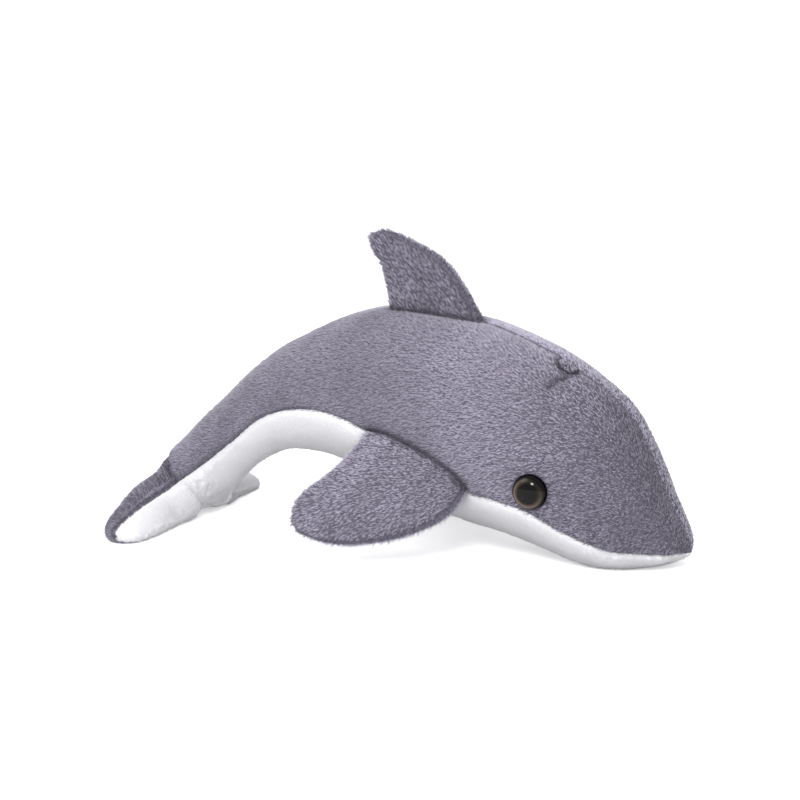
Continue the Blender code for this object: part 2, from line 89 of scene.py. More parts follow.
# %% Sections of the body
SECTIONS = (
    # back x, back z, belly x, belly z, half width, widest, seam, roundness
    (0.1303, 0.0074, 0.1303, 0.0066, 0.0004, 0.50, 0.50, 2.00),
    (0.1296, 0.0106, 0.1276, 0.0048, 0.0075, 0.50, 0.36, 2.30),
    (0.1269, 0.0161, 0.1206, 0.0020, 0.0145, 0.48, 0.35, 2.40),
    (0.1207, 0.0279, 0.1105, -0.0006, 0.0215, 0.45, 0.30, 2.35),
    (0.1140, 0.0424, 0.1015, -0.0026, 0.0275, 0.43, 0.26, 2.30),
    (0.1060, 0.0568, 0.0920, -0.0024, 0.0318, 0.42, 0.25, 2.30),
    (0.0965, 0.0677, 0.0820, -0.0004, 0.0342, 0.42, 0.25, 2.50),
    (0.0804, 0.0784, 0.0680, 0.0038, 0.0362, 0.43, 0.27, 2.70),
    (0.0617, 0.0876, 0.0520, 0.0080, 0.0372, 0.44, 0.25, 2.65),
    (0.0382, 0.0951, 0.0340, 0.0115, 0.0372, 0.45, 0.235, 2.45),
    (0.0100, 0.0986, 0.0120, 0.0172, 0.0365, 0.46, 0.35, 2.25),
    (-0.0150, 0.0956, -0.0090, 0.0278, 0.0340, 0.47, 0.41, 2.20),
    (-0.0380, 0.0862, -0.0300, 0.0335, 0.0290, 0.48, 0.44, 2.15),
    (-0.0600, 0.0730, -0.0500, 0.0330, 0.0235, 0.50, 0.42, 2.10),
    (-0.0800, 0.0550, -0.0660, 0.0256, 0.0190, 0.50, 0.37, 2.00),
    (-0.0962, 0.0397, -0.0790, 0.0142, 0.0165, 0.50, 0.42, 2.00),
    (-0.1075, 0.0264, -0.0880, 0.0066, 0.0170, 0.50, 0.50, 2.00),
)
LAST = len(SECTIONS) - 1
TINY = 1e-3
SHIFT = np.array([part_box("back_panel_right")[1].x - SECTIONS[0][0], 0.0, 0.0])


def unit(vectors):
    """The vectors at length one."""
    length = np.linalg.norm(vectors, axis=-1, keepdims=True)
    return vectors / np.maximum(length, 1e-12)


def along(values, t):
    """Smooth curve through one value for each section, read t sections from the first."""
    values = np.asarray(values, dtype=float)
    last = len(values) - 1
    t = np.clip(np.asarray(t, dtype=float), 0.0, last)
    before = np.minimum(t.astype(int), last - 1)
    f = t - before
    slope = np.gradient(values)
    rise = values[before + 1] - values[before]
    return (
        values[before]
        + f * slope[before]
        + f * f * (3 * rise - 2 * slope[before] - slope[before + 1])
        + f ** 3 * (slope[before] + slope[before + 1] - 2 * rise)
    )


def section(t):
    """The eight values of the body's section at t."""
    return [along(column, t) for column in zip(*SECTIONS)]


def body_point(t, angle):
    """Point on the body at section t and an angle from the back seam, positive to the left."""
    back_x, back_z, belly_x, belly_z, half_width, widest, _, roundness = section(t)
    cosine, sine = np.cos(angle), np.sin(angle)
    level = widest + np.where(cosine > 0, (1 - widest) * cosine, widest * cosine)
    power = np.where(cosine > 0, 2 / roundness, 1.0)
    across = half_width * np.sign(sine) * np.abs(sine) ** power
    x = belly_x + level * (back_x - belly_x)
    z = belly_z + level * (back_z - belly_z)
    return np.stack([x, across, np.maximum(z, 0.0)], axis=-1) + SHIFT


def body_normal(t, angle):
    """Outward direction of the body."""
    t, angle = np.broadcast_arrays(np.asarray(t, float), np.asarray(angle, float))
    run = body_point(np.minimum(t + TINY, LAST), angle) - body_point(np.maximum(t - TINY, 0), angle)
    turn = body_point(t, angle + TINY) - body_point(t, angle - TINY)
    out = np.cross(turn, run)
    centred = np.abs(np.sin(angle)) < TINY
    out[..., 1] = np.where(centred, 0.0, out[..., 1])
    return unit(out)


def seam_angle(t):
    """Angle of the side seam between the grey back and the white belly."""
    widest, seam = section(t)[5:7]
    above = (seam - widest) / (1 - widest)
    below = (seam - widest) / widest
    return np.arccos(np.clip(np.where(seam > widest, above, below), -1, 1))


print("body: %d sections" % len(SECTIONS))

# %% [markdown]
# ## The fins' shape
# A fin is two cloths sewn edge to edge and filled, so it is a lens between a leading and a
# trailing edge. Rows run out from its root and every row turns from the leading edge, over one
# cloth, to the trailing edge. A subdivided box would need many loops for these edges. The
# flukes' grey cloth is a crowned one: it rises over the leading edge, and its seam lies on the
# front.

# %% Outlines of the fins
SEWN_EDGE = 0.0011
FIN_OUTLINE = (
    ((0.0420, 0.0, 0.0860), (-0.0020, 0.0, 0.0880)),
    ((0.0370, 0.0, 0.0960), (-0.0038, 0.0, 0.0975)),
    ((0.0300, 0.0, 0.1075), (-0.0052, 0.0, 0.1055)),
    ((0.0194, 0.0, 0.1194), (-0.0080, 0.0, 0.1157)),
    ((0.0048, 0.0, 0.1266), (-0.0124, 0.0, 0.1224)),
    ((-0.0072, 0.0, 0.1302), (-0.0140, 0.0, 0.1278)),
)
FIN_SWELL = (0.0062, 0.0058, 0.0048, 0.0038, 0.0026, 0.0012)
FLIPPER_OUTLINE = (
    ((0.0430, -0.0270, 0.0340), (0.0020, -0.0260, 0.0530)),
    ((0.0445, -0.0360, 0.0290), (0.0005, -0.0350, 0.0500)),
    ((0.0390, -0.0430, 0.0208), (-0.0018, -0.0430, 0.0444)),
    ((0.0237, -0.0510, 0.0135), (-0.0075, -0.0520, 0.0368)),
    ((0.0045, -0.0595, 0.0105), (-0.0152, -0.0605, 0.0298)),
    ((-0.0115, -0.0655, 0.0125), (-0.0185, -0.0660, 0.0222)),
)
FLIPPER_SWELL = (0.0060, 0.0056, 0.0050, 0.0044, 0.0034, 0.0014)
FLUKE_OUTLINE = (
    ((-0.1035, 0.0000, 0.0205), (-0.0945, 0.0000, 0.0026)),
    ((-0.1014, 0.0140, 0.0176), (-0.0928, 0.0140, 0.0012)),
    ((-0.1032, 0.0280, 0.0138), (-0.0918, 0.0280, 0.0012)),
    ((-0.1050, 0.0420, 0.0090), (-0.0916, 0.0420, 0.0012)),
    ((-0.1054, 0.0528, 0.0052), (-0.0928, 0.0532, 0.0012)),
    ((-0.1046, 0.0594, 0.0024), (-0.0988, 0.0600, 0.0012)),
)
FLUKE_SHIFT = -0.0050
FLUKE_TOP_SWELL = (0.0115, 0.0115, 0.0112, 0.0100, 0.0080, 0.0035)
FLUKE_UNDER_SWELL = (0.0035, 0.0035, 0.0032, 0.0028, 0.0022, 0.0010)
FLUKE_CROWN = 1.35
TIP_ROUNDING = 0.94  # How far the last ring is on its way round the tip.


def outline_curve(outline, u):
    """Leading and trailing points of a fin at u rows from its root."""
    points = np.asarray(outline, dtype=float)
    lead = np.stack([along(points[:, 0, k], u) for k in range(3)], axis=-1)
    trail = np.stack([along(points[:, 1, k], u) for k in range(3)], axis=-1)
    return lead + SHIFT, trail + SHIFT


def lens_frame(outline, rows, turn):
    """Middle points of a padded fin, its chord there and the way its first cloth faces."""
    def middle(u):
        lead, trail = outline_curve(outline, u)
        return (lead + trail) / 2 - np.cos(turn)[..., None] * (trail - lead) / 2

    last = len(outline) - 1
    span = middle(np.minimum(rows + TINY, last)) - middle(np.maximum(rows - TINY, 0))
    lead, trail = outline_curve(outline, rows)
    chord = unit(trail - lead)
    return middle(rows), chord, unit(np.cross(chord, span))


def rounded_tip(rings, rows, last, reach, gain):
    """Rings drawn in towards their middles over the last stretch, for a round tip."""
    share = TIP_ROUNDING * np.clip((rows - (last - reach)) / reach, 0, 1)
    middle = rings.mean(1, keepdims=True)
    outward = np.gradient(middle, rows, axis=0)
    longer = gain * unit(outward) * np.sign(rows[-1] - rows[0]) * share[:, None, None] ** 2
    return middle + longer + (rings - middle) * np.sqrt(1 - share ** 2)[:, None, None]


def edge_step(turn, both=True):
    """How far the sewn edge has risen, from 0 on the seam to 1 a little way in."""
    return np.where(both | (turn > math.pi / 2), np.sqrt(1 - np.cos(turn) ** 16), 1.0)


def flat_cloth(outline, rows, turn, swell, way, both=True):
    """Cloth that stands out square to the chord."""
    middle, _, face = lens_frame(outline, rows, turn)
    out = SEWN_EDGE * edge_step(turn, both) + along(swell, rows) * np.sin(turn)
    return middle + way * face * out[..., None]


def crowned_cloth(outline, rows, turn, swell):
    """Cloth that also rises over the leading edge."""
    middle, chord, face = lens_frame(outline, rows, turn)
    near_lead = (1 + np.cos(turn)) / 2
    bulge = along(swell, rows) * np.sin(turn)
    back = bulge * (1 - near_lead ** 2) - SEWN_EDGE * np.cos(turn) * edge_step(turn, False)
    over = FLUKE_CROWN * bulge * near_lead
    return middle - face * back[..., None] - chord * over[..., None]


def both_halves(half):
    """Values from the right tip through the middle to the left tip."""
    return half[:0:-1] + half


print("outlines:", len(FIN_OUTLINE), len(FLIPPER_OUTLINE), len(FLUKE_OUTLINE), "rows")

# %% [markdown]
# ## Meshes from rings
# Every skin is a closed mesh of rings, with a pole in the middle of each end. The bmesh tools
# could bridge the rings one by one, but numbers for a whole grid are quicker to work out in one
# go. The ring number and the place round the ring become the map for textures.

# %% Ring meshes
MAP_EDGE = 0.03  # Share of the map that is left free round a skin.


def ring_quads(points, count, columns):
    """Faces between rings that point outwards, and the column of each."""
    i, j = np.meshgrid(np.arange(count - 1), np.arange(columns), indexing="ij")
    k = (j + 1) % columns
    quads = np.stack([i * columns + j, i * columns + k, (i + 1) * columns + k,
                      (i + 1) * columns + j], axis=-1).reshape(-1, 4)
    # The signed volume tells whether the rings run round the skin the right way.
    a, b, c = (points[quads[:, n]] for n in (0, 1, 2))
    inside_out = np.einsum("ij,ij->i", a, np.cross(b, c)).sum() < 0
    return quads[:, ::-1] if inside_out else quads, j.reshape(-1)


def with_poles(values):
    """Values on rings as one list, with the values of the two poles at its end."""
    flat = values.reshape(-1, *values.shape[2:])
    return np.concatenate([flat, values[:1].mean(1), values[-1:].mean(1)])


def ring_object(name, rings, finishes, materials):
    """Closed skin through rings of points. Its finishes are numbers of materials, one for each
    column or for each face."""
    count, columns = rings.shape[:2]
    finishes = np.broadcast_to(finishes, (count, columns))
    points = with_poles(rings)
    poles = count * columns, count * columns + 1
    quads, column = ring_quads(points, count, columns)
    faces = [tuple(q) for q in quads]
    for row, inner, pole in zip((0, count - 1), (min(3, count - 1), -min(4, count)), poles):
        out = rings[row].mean(0) - rings[inner].mean(0)
        for c in range(columns):
            one, two = row * columns + c, row * columns + (c + 1) % columns
            normal = np.cross(points[two] - points[one], points[pole] - points[one])
            faces.append((one, two, pole) if normal @ out > 0 else (two, one, pole))
    mesh = bpy.data.meshes.new(name)
    mesh.from_pydata(points.tolist(), [], faces)
    mesh.shade_smooth()
    for finish in materials:
        mesh.materials.append(finish)
    numbers = np.concatenate([finishes[:-1].ravel(), finishes[0], finishes[-1]])
    mesh.polygons.foreach_set("material_index", numbers.astype(np.int32))

    # The map: rings across, columns upwards, with the last column's far side at the top.
    layer = mesh.uv_layers.new(name="OFBake")
    corners = np.zeros(len(mesh.loops), np.int32)
    mesh.loops.foreach_get("vertex_index", corners)
    starts = np.repeat(np.arange(len(faces)), [len(f) for f in faces])
    column = np.concatenate([column, np.tile(np.arange(columns), 2)])[starts]
    place = corners % columns
    up = np.where((column == columns - 1) & (place == 0), columns, place) / columns
    across = np.minimum(corners // columns, count - 1) / (count - 1)
    across = across * (1 - 2 * MAP_EDGE) + MAP_EDGE
    for pole, edge in zip(poles, (MAP_EDGE / 2, 1 - MAP_EDGE / 2)):
        across = np.where(corners == pole, edge, across)
        up = np.where(corners == pole, (column + 0.5) / columns, up)
    layer.data.foreach_set("uv", np.stack([across, up], -1).astype(np.float32).ravel())
    return new_object(name, mesh)


def put(mesh, **maps):
    """Stores numbers or vectors on the vertices of a ring mesh."""
    for name, values in maps.items():
        flat = with_poles(np.asarray(values, np.float32))
        kind, field = ("FLOAT_VECTOR", "vector") if flat.ndim == 2 else ("FLOAT", "value")
        mesh.attributes.new(name, kind, "POINT").data.foreach_set(field, flat.ravel())


def tree_of(points):
    """Search tree over a grid of ring points."""
    flat = points.reshape(-1, 3)
    return BVHTree.FromPolygons(flat.tolist(), ring_quads(flat, *points.shape[:2])[0].tolist())


def clearance(points, tree, reach=0.02):
    """How far each point is outside a skin, or less than 0 inside it, and the skin's facing."""
    flat = points.reshape(-1, 3)
    found = np.full(len(flat), reach)
    facing = np.zeros_like(flat)
    for n, place in enumerate(flat):
        near, normal, _, distance = tree.find_nearest(place, reach)
        if near is not None:
            found[n] = distance if (Vector(place) - near) @ normal >= 0 else -distance
            facing[n] = normal
    return found.reshape(points.shape[:-1]), facing.reshape(points.shape)


print("ring meshes: map edge", MAP_EDGE)

# %% [markdown]
# ## Cloth relief
# The stuffing pushes the cloth out and the thread pulls it in. A seam is a narrow valley with
# small puckers beside it, and broad soft lumps run under the whole cloth. A cloth simulation
# could make such folds, but this toy is stuffed taut, and worked-out relief puts each fold
# where the real one is.

# %% Relief functions
PILE_RISE = 0.00025  # The skins stand back by this, and the pile fills it.


def ramp(values, start, width):
    """0 up to a start and 1 past a width, or the other way round for a negative width."""
    return np.clip((values - start) / width, 0, 1)


def waves(points, size, seed):
    """Soft lumps between about -1 and 1, as a sum of waves in fixed random directions."""
    chance = np.random.default_rng(seed)
    total = np.zeros(points.shape[:-1])
    for octave, weight in ((1.0, 0.6), (2.1, 0.3), (4.3, 0.15)):
        for _ in range(5):
            way = unit(chance.normal(size=3)) * 2 * math.pi * octave / size
            total += weight / 2.2 * np.sin(points @ way + chance.uniform(0, 2 * math.pi))
    return total


def valley(distance, width):
    """1 on a line, falling to 0 beside it."""
    return np.exp(-(distance / width) ** 2)


def puckers(distance, run, spacing, reach, seed):
    """Small folds across a seam that fade away from it."""
    chance = np.random.default_rng(seed)
    phase = chance.uniform(0, 2 * math.pi, 3)
    folds = sum(np.sin(2 * math.pi * run / (spacing * scale) + p)
                for scale, p in zip((1.0, 1.37, 0.73), phase)) / 3
    return folds * np.exp(-(distance / reach) ** 2) * (1 - valley(distance, reach / 4))


print("skins stand back %.2f mm under the pile" % (PILE_RISE * 1000))

# %% [markdown]
# ## The body's skin
# The panels meet at one seam on the back and one on each side. The columns of the grid follow
# these seams, so that grey changes to white on an edge of the mesh. A remeshed skin would lose
# that edge. Rows and columns are closer together at the nose and beside the seams.

# %% Body skin
GREY, WHITE = 0, 1
BODY_ROWS, NOSE_ROWS, BACK_COLUMNS, BELLY_COLUMNS = 290, 23, 46, 54
FLANK_ANGLE = 1.2  # Runs along the body are measured at this angle from the back seam.


def eased(count, curved, straight):
    """Steps from 0 to 1, closer together at both ends."""
    ease = (1 - np.cos(np.linspace(0, math.pi, count + 1))) / 2
    return curved * ease + straight * np.linspace(0, 1, count + 1)


def length_along(points):
    """Distance run along a line of points, as a column."""
    steps = np.linalg.norm(np.diff(points, axis=0), axis=1)
    return np.concatenate([[0], np.cumsum(steps)])[:, None]


rows = np.concatenate([np.linspace(0, 1, NOSE_ROWS + 1)[:-1] ** 1.5,
                       np.linspace(1, LAST, BODY_ROWS - NOSE_ROWS)])
t = rows[:, None]
seam = seam_angle(rows)[:, None]
back_share = eased(BACK_COLUMNS, 0.55, 0.45)
angles = np.concatenate([
    seam * back_share[None, :-1],
    seam + (2 * math.pi - 2 * seam) * eased(BELLY_COLUMNS, 0.5, 0.5)[None, :-1],
    2 * math.pi - seam * back_share[None, :0:-1],
], axis=1)
body_finish = np.full(angles.shape[1], GREY)
body_finish[BACK_COLUMNS:BACK_COLUMNS + BELLY_COLUMNS] = WHITE
plain = body_point(t, angles)
normal = body_normal(t, angles)
run = length_along(body_point(rows, 0 * rows + FLANK_ANGLE))
side = np.where(np.sin(angles) >= 0, 1, -1)
from_side = np.linalg.norm(plain - body_point(t, side * seam), axis=-1)
from_back = np.linalg.norm(plain - body_point(t, 0 * angles), axis=-1)
print("body skin grid:", plain.shape)

# %% [markdown]
# ## The fins' skins
# The fin and the flippers are alike on both sides, and the flukes have a flat cloth below and
# a crowned one above. The rings lie closer together towards a tip, which is rounded off.
# Subdivision would round it too, but it would pull the sewn edge in as well.

# %% Fin skins
# Rings, columns, the rows that the round tip takes up and how far it is drawn out.
FIN_GRID, FLIPPER_GRID = (70, 96, 0.20, 0.0), (80, 112, 0.48, 0.0014)
FLUKE_GRID = (150, 96, 0.35, 0.0010)


def closer(share):
    """Steps that come closer together towards 1."""
    return 1 - (1 - share) ** 1.25


def wrapped(cloths, steps, columns):
    """Rings over the first cloth from the leading edge, and back over the other."""
    rows, turn = np.meshgrid(steps, np.linspace(0, math.pi, columns // 2 + 1), indexing="ij")
    front, back = (cloth(rows, turn) for cloth in cloths)
    return np.concatenate([front, back[:, -2:0:-1]], axis=1)


def fin_rings(outline, swell, count, columns, reach, gain):
    """Rings of a fin that is alike on both sides."""
    last = len(outline) - 1
    steps = last * closer(np.linspace(0, 1, count))
    cloths = [lambda rows, turn, way=way: flat_cloth(outline, rows, turn, swell, way)
              for way in (1, -1)]
    return rounded_tip(wrapped(cloths, steps, columns), steps, last, reach, gain)


def fluke_rings(outline, count, columns, reach, gain):
    """Rings across both flukes, from the right tip to the left one."""
    under, top = both_halves(FLUKE_UNDER_SWELL), both_halves(FLUKE_TOP_SWELL)
    cloths = (lambda rows, turn: flat_cloth(outline, rows, turn, under, 1, False),
              lambda rows, turn: crowned_cloth(outline, rows, turn, top))
    middle = (len(outline) - 1) / 2
    share = np.linspace(-1, 1, count)
    steps = middle * (1 + np.sign(share) * closer(np.abs(share)))
    rings = wrapped(cloths, steps, columns)
    for part in (slice(0, count // 2), slice(count // 2, count)):
        rings[part] = rounded_tip(rings[part], np.abs(steps[part] - middle), middle, reach, gain)
    rings[..., 2] = np.maximum(rings[..., 2], 0.0)
    return rings


mirror = np.array([1.0, -1.0, 1.0])
left_half = np.asarray(FLUKE_OUTLINE)
fluke_outline = np.concatenate([left_half[:0:-1] * mirror, left_half])
fluke_outline = fluke_outline + np.array([0.0, FLUKE_SHIFT, 0.0])
flipper = fin_rings(FLIPPER_OUTLINE, FLIPPER_SWELL, *FLIPPER_GRID)
skins = {"dorsal_fin": fin_rings(FIN_OUTLINE, FIN_SWELL, *FIN_GRID), "flipper_right": flipper,
         "flipper_left": flipper * mirror, "flukes": fluke_rings(fluke_outline, *FLUKE_GRID)}
print("fin skins:", {name: rings.shape[:2] for name, rings in skins.items()})

# %% [markdown]
# ## Where the tail meets the flukes
# On the real toy the white cloth runs on from the belly over the flukes without a step. One
# joined mesh could show that, but each skin has to stand for its own solids. So both skins
# swell towards one another where they come close, which fills the hollow between them.

# %% Filled hollow
# Distance within which the skins swell, and the grey's share of the white's swelling.
BLEND, GREY_SHARE = 0.015, 0.4


def shared_facing(points, normals, tree, share):
    """Facing of a skin, turned towards its neighbour's where they run together."""
    distance, other = clearance(points, tree, BLEND)
    weight = share * 0.5 * (1 - np.clip(np.abs(distance) / BLEND, 0, 1))
    return unit(normals * (1 - weight[..., None]) + other * weight[..., None])


def filled(distance, white):
    """How far a skin swells where it comes close to another, less on the grey than the white."""
    share = white + GREY_SHARE * (1 - white)
    return share * BLEND / 4 * np.maximum(1 - np.abs(distance) / BLEND, 0) ** 2


print("hollow filled within %.0f mm" % (BLEND * 1000))

# %% [markdown]
# ## Where the pieces meet
# The thread that holds a fin pulls the body's cloth in along its foot, so the body has a
# crease there, and another thread pulls a short fold beside the blowhole. A boolean cut would
# give hard edges. Here the distance to each piece sets how deep the cloth lies, and inside
# another piece a skin carries no pile.

# %% Creases and eye sockets
EYE_PLACE, EYE_START, EYE_TRIES = (0.0741, 0.0345), (6.0, math.pi / 2), 40
EYE_DIAMETER, EYE_DOME_HEIGHT, EYE_EDGE, EYE_SEAT = 0.0145, 0.0054, 0.0010, 0.0008
BLOWHOLE_STATION, BLOWHOLE_ANGLE = 7.18, -0.045
BLOWHOLE_LENGTH, BLOWHOLE_WIDTH, BLOWHOLE_RISE = 0.0092, 0.0108, 0.0008
FOLD_ENDS = ((7.19, -0.50), (7.00, -0.17))


def side_view(t, angle):
    """Distance along and height of a point on the body."""
    return (body_point(t, angle) - SHIFT)[[0, 2]]


def eye_place():
    """Section and angle of the body where the eye's middle lies, in steps of half the way."""
    t, angle = EYE_START
    for _ in range(EYE_TRIES):
        here = side_view(t, angle)
        run = (side_view(t + TINY, angle) - here) / TINY
        turn = (side_view(t, angle + TINY) - here) / TINY
        step = np.linalg.solve(np.column_stack([run, turn]), np.array(EYE_PLACE) - here)
        t, angle = t + step[0] / 2, angle + step[1] / 2
    return float(t), float(angle)


def frame_on_body(t, angle, sink):
    """Frame whose Z is the body's outward direction, sunk below the surface by a depth."""
    normal = Vector(body_normal(t, angle))
    place = Vector(body_point(t, angle)) - normal * sink
    return Matrix.Translation(place) @ normal.to_track_quat("Z", "Y").to_matrix().to_4x4()


def from_line(points, one, two):
    """Distance from points to a straight stretch."""
    way = two - one
    share = np.clip((points - one) @ way / (way @ way), 0, 1)
    return np.linalg.norm(points - one - share[..., None] * way, axis=-1)


eye_t, eye_angle = eye_place()
eye_frames = {"right": frame_on_body(eye_t, -eye_angle, EYE_SEAT),
              "left": frame_on_body(eye_t, eye_angle, EYE_SEAT)}
fin_trees = {name: tree_of(rings) for name, rings in skins.items()}
to_fin = {name: clearance(plain, tree)[0] for name, tree in fin_trees.items()}
from_fin = {name: np.maximum(distance, 0) for name, distance in to_fin.items()}
from_eye = np.min([np.linalg.norm(plain - np.array(place.translation), axis=-1)
                   for place in eye_frames.values()], axis=0)
from_fold = from_line(plain, *(body_point(*end) for end in FOLD_ENDS))
oval = np.array([1.0, BLOWHOLE_LENGTH / BLOWHOLE_WIDTH, 1.0])
past_hole = (plain - body_point(BLOWHOLE_STATION, BLOWHOLE_ANGLE)) * oval
past_hole = np.linalg.norm(past_hole, axis=-1) - BLOWHOLE_LENGTH / 2
print("eye at section %.2f, %.1f degrees from the back" % (eye_t, math.degrees(eye_angle)))

# %% [markdown]
# ## The body's relief
# Each line of thread is a deep narrow valley inside a shallow wide one, which is how a seam
# sinks between two stuffed cloths. A displace modifier could do this with a texture, but the
# distances are known here for every vertex, so the skin is moved along its normals.

# %% Relief of the body
# Depth, distance and width of the lines where the thread draws the cloth in.
SEAM_LINES = ((0.0010, from_side, 0.0013), (0.0006, from_side, 0.004),
              (0.0011, from_back, 0.0009), (0.0004, from_back, 0.004),
              (0.0009, past_hole - 0.0003, 0.0009))
PULLS = ((0.0010, np.maximum(from_eye - 0.006, 0), 0.004), (0.0014, from_fold, 0.0014),
         (0.0012, from_fold, 0.0050))
CREASE_DEPTH, CREASE_WIDTH, FLUKE_CREASE = 0.0014, 0.0022, 0.3
relief = 0.00035 * waves(plain, 0.045, 3) - PILE_RISE
for depth, distance, width in SEAM_LINES:
    relief -= depth * valley(distance, width)
relief += 0.00022 * puckers(from_side, run, 0.0060, 0.0060, 5)
relief += 0.00020 * puckers(from_back, run, 0.0050, 0.0050, 6)
for depth, distance, width in PULLS:
    relief -= depth * valley(distance, width)
is_back = np.broadcast_to(body_finish == GREY, plain.shape[:2])
on_white = ramp(np.where(is_back, -from_side, from_side), -0.003, 0.006)
for name, distance in from_fin.items():
    crease = CREASE_DEPTH * valley(distance, CREASE_WIDTH)
    relief -= crease * (FLUKE_CREASE * (1 - on_white) if name == "flukes" else 1)
relief += filled(to_fin["flukes"], on_white)
relief *= np.clip(rows / 1.2, 0.1, 1)[:, None]
body = plain + normal * relief[..., None]
body[..., 2] = np.maximum(body[..., 2], 0.0)
body_tree = tree_of(body)
print("relief from %.2f to %.2f mm" % (relief.min() * 1000, relief.max() * 1000))

# %% [markdown]
# ## Finishes
# The pile is painted darker at its roots, as shade deep in the pile. Each effect that several
# finishes use is a node group that gives a colour or a normal, built once. The pile's colour
# comes from two values on its tufts: how light the tuft is, and how far along it a point lies.
# A noise texture alone would not know where the roots are.

# %% Node groups
def group(name, inputs, outputs):
    """Empty shader node group with named sockets, its start and its end."""
    made = bpy.data.node_groups.new(name, "ShaderNodeTree")
    for label, value in inputs.items():
        kind = "NodeSocketFloat" if isinstance(value, float) else "NodeSocketColor"
        made.interface.new_socket(label, in_out="INPUT", socket_type=kind).default_value = value
    for label, kind in outputs.items():
        made.interface.new_socket(label, in_out="OUTPUT", socket_type="NodeSocket" + kind)
    return made, made.nodes.new("NodeGroupInput"), made.nodes.new("NodeGroupOutput")


def maths(tree, operation, one, two=None, three=None):
    """Maths node on sockets or numbers."""
    node = tree.nodes.new("ShaderNodeMath")
    node.operation = operation
    for number, value in enumerate((one, two, three)):
        if value is None:
            continue
        if isinstance(value, (int, float)):
            node.inputs[number].default_value = value
        else:
            tree.links.new(value, node.inputs[number])
    return node.outputs[0]


def mixed(tree, share, one, two):
    """Mix of two colours, given as sockets or as values."""
    node = tree.nodes.new("ShaderNodeMix")
    node.data_type = "RGBA"
    for socket, value in ((node.inputs[0], share), (node.inputs[6], one), (node.inputs[7], two)):
        if isinstance(value, (tuple, float)):
            socket.default_value = value
        else:
            tree.links.new(value, socket)
    return node.outputs[2]


def pile_colour_group():
    """Colour of a tuft from its shade and from how far along it a point lies, painted darker
    towards the root as shade deep in the pile.
    """
    made, start, end = group("pile_colour", {
        "Deep": (0.1, 0.1, 0.1, 1), "Dark": (0.2, 0.2, 0.2, 1), "Light": (0.4, 0.4, 0.4, 1),
        "Shade": 0.5, "Along": 0.5}, {"Color": "Color"})
    body = mixed(made, start.outputs["Shade"], start.outputs["Dark"], start.outputs["Light"])
    # Painted shade: each tuft is darker towards its root.
    rise = maths(made, "MULTIPLY_ADD", start.outputs["Along"], 1.2, 0.55)
    rise.node.use_clamp = True
    made.links.new(mixed(made, rise, start.outputs["Deep"], body), end.inputs["Color"])
    return made


def cloth_group():
    """Backing cloth between the tufts: a speckled colour and a fine bump."""
    made, start, end = group("backing_cloth", {
        "Dark": (0.1, 0.1, 0.1, 1), "Light": (0.2, 0.2, 0.2, 1), "Grain": 900.0,
        "Depth": 0.0004}, {"Color": "Color", "Normal": "Vector"})
    place = made.nodes.new("ShaderNodeTexCoord")
    grain = made.nodes.new("ShaderNodeTexNoise")
    grain.inputs["Detail"].default_value = 4.0
    made.links.new(place.outputs["Object"], grain.inputs["Vector"])
    made.links.new(start.outputs["Grain"], grain.inputs["Scale"])
    share = maths(made, "MULTIPLY_ADD", grain.outputs["Fac"], 2.4, -0.7)
    share.node.use_clamp = True
    made.links.new(mixed(made, share, start.outputs["Dark"], start.outputs["Light"]),
                   end.inputs["Color"])
    bump = made.nodes.new("ShaderNodeBump")
    made.links.new(start.outputs["Depth"], bump.inputs["Distance"])
    made.links.new(grain.outputs["Fac"], bump.inputs["Height"])
    made.links.new(bump.outputs["Normal"], end.inputs["Normal"])
    return made


PILE_COLOUR, BACKING = pile_colour_group(), cloth_group()
print("node groups:", PILE_COLOUR.name, BACKING.name)

# %% [markdown]
# ## Materials
# A finish is a Principled shader, and what is the same all over it is set on the shader's own
# sockets. The tufts have some sheen, as fibres do, and the cloth under them is dull.

# %% Materials
def attribute(tree, name):
    """Socket that reads a number from the mesh."""
    node = tree.nodes.new("ShaderNodeAttribute")
    node.attribute_name = name
    return node.outputs["Fac"]


def shader(name, roughness, sheen=0.0, specular=0.3, coat=0.0):
    """Material with its own Principled node."""
    made = bpy.data.materials.new(name)
    made.use_nodes = True
    node = made.node_tree.nodes["Principled BSDF"]
    node.inputs["Roughness"].default_value = roughness
    node.inputs["Sheen Weight"].default_value = sheen
    node.inputs["Sheen Roughness"].default_value = 0.5
    node.inputs["Specular IOR Level"].default_value = specular
    node.inputs["Coat Weight"].default_value = coat
    node.inputs["Coat Roughness"].default_value = 0.02
    return made, node


def placed(tree, effect, **values):
    """A node group placed in a material with its own values."""
    node = tree.nodes.new("ShaderNodeGroup")
    node.node_tree = effect
    for label, value in values.items():
        node.inputs[label].default_value = (*value, 1)
    return node


def pile_finish(name, deep, dark, light):
    """Finish of the tufts."""
    made, node = shader(name, 0.85, sheen=0.25, specular=0.15)
    tree = made.node_tree
    colour = placed(tree, PILE_COLOUR, Deep=deep, Dark=dark, Light=light)
    tree.links.new(attribute(tree, "shade"), colour.inputs["Shade"])
    tree.links.new(attribute(tree, "tip"), colour.inputs["Along"])
    tree.links.new(colour.outputs["Color"], node.inputs["Base Color"])
    return made


def cloth_finish(name, dark, light):
    """Finish of the cloth under the tufts."""
    made, node = shader(name, 0.95, specular=0.1)
    tree = made.node_tree
    cloth = placed(tree, BACKING, Dark=dark, Light=light)
    tree.links.new(cloth.outputs["Color"], node.inputs["Base Color"])
    tree.links.new(cloth.outputs["Normal"], node.inputs["Normal"])
    return made


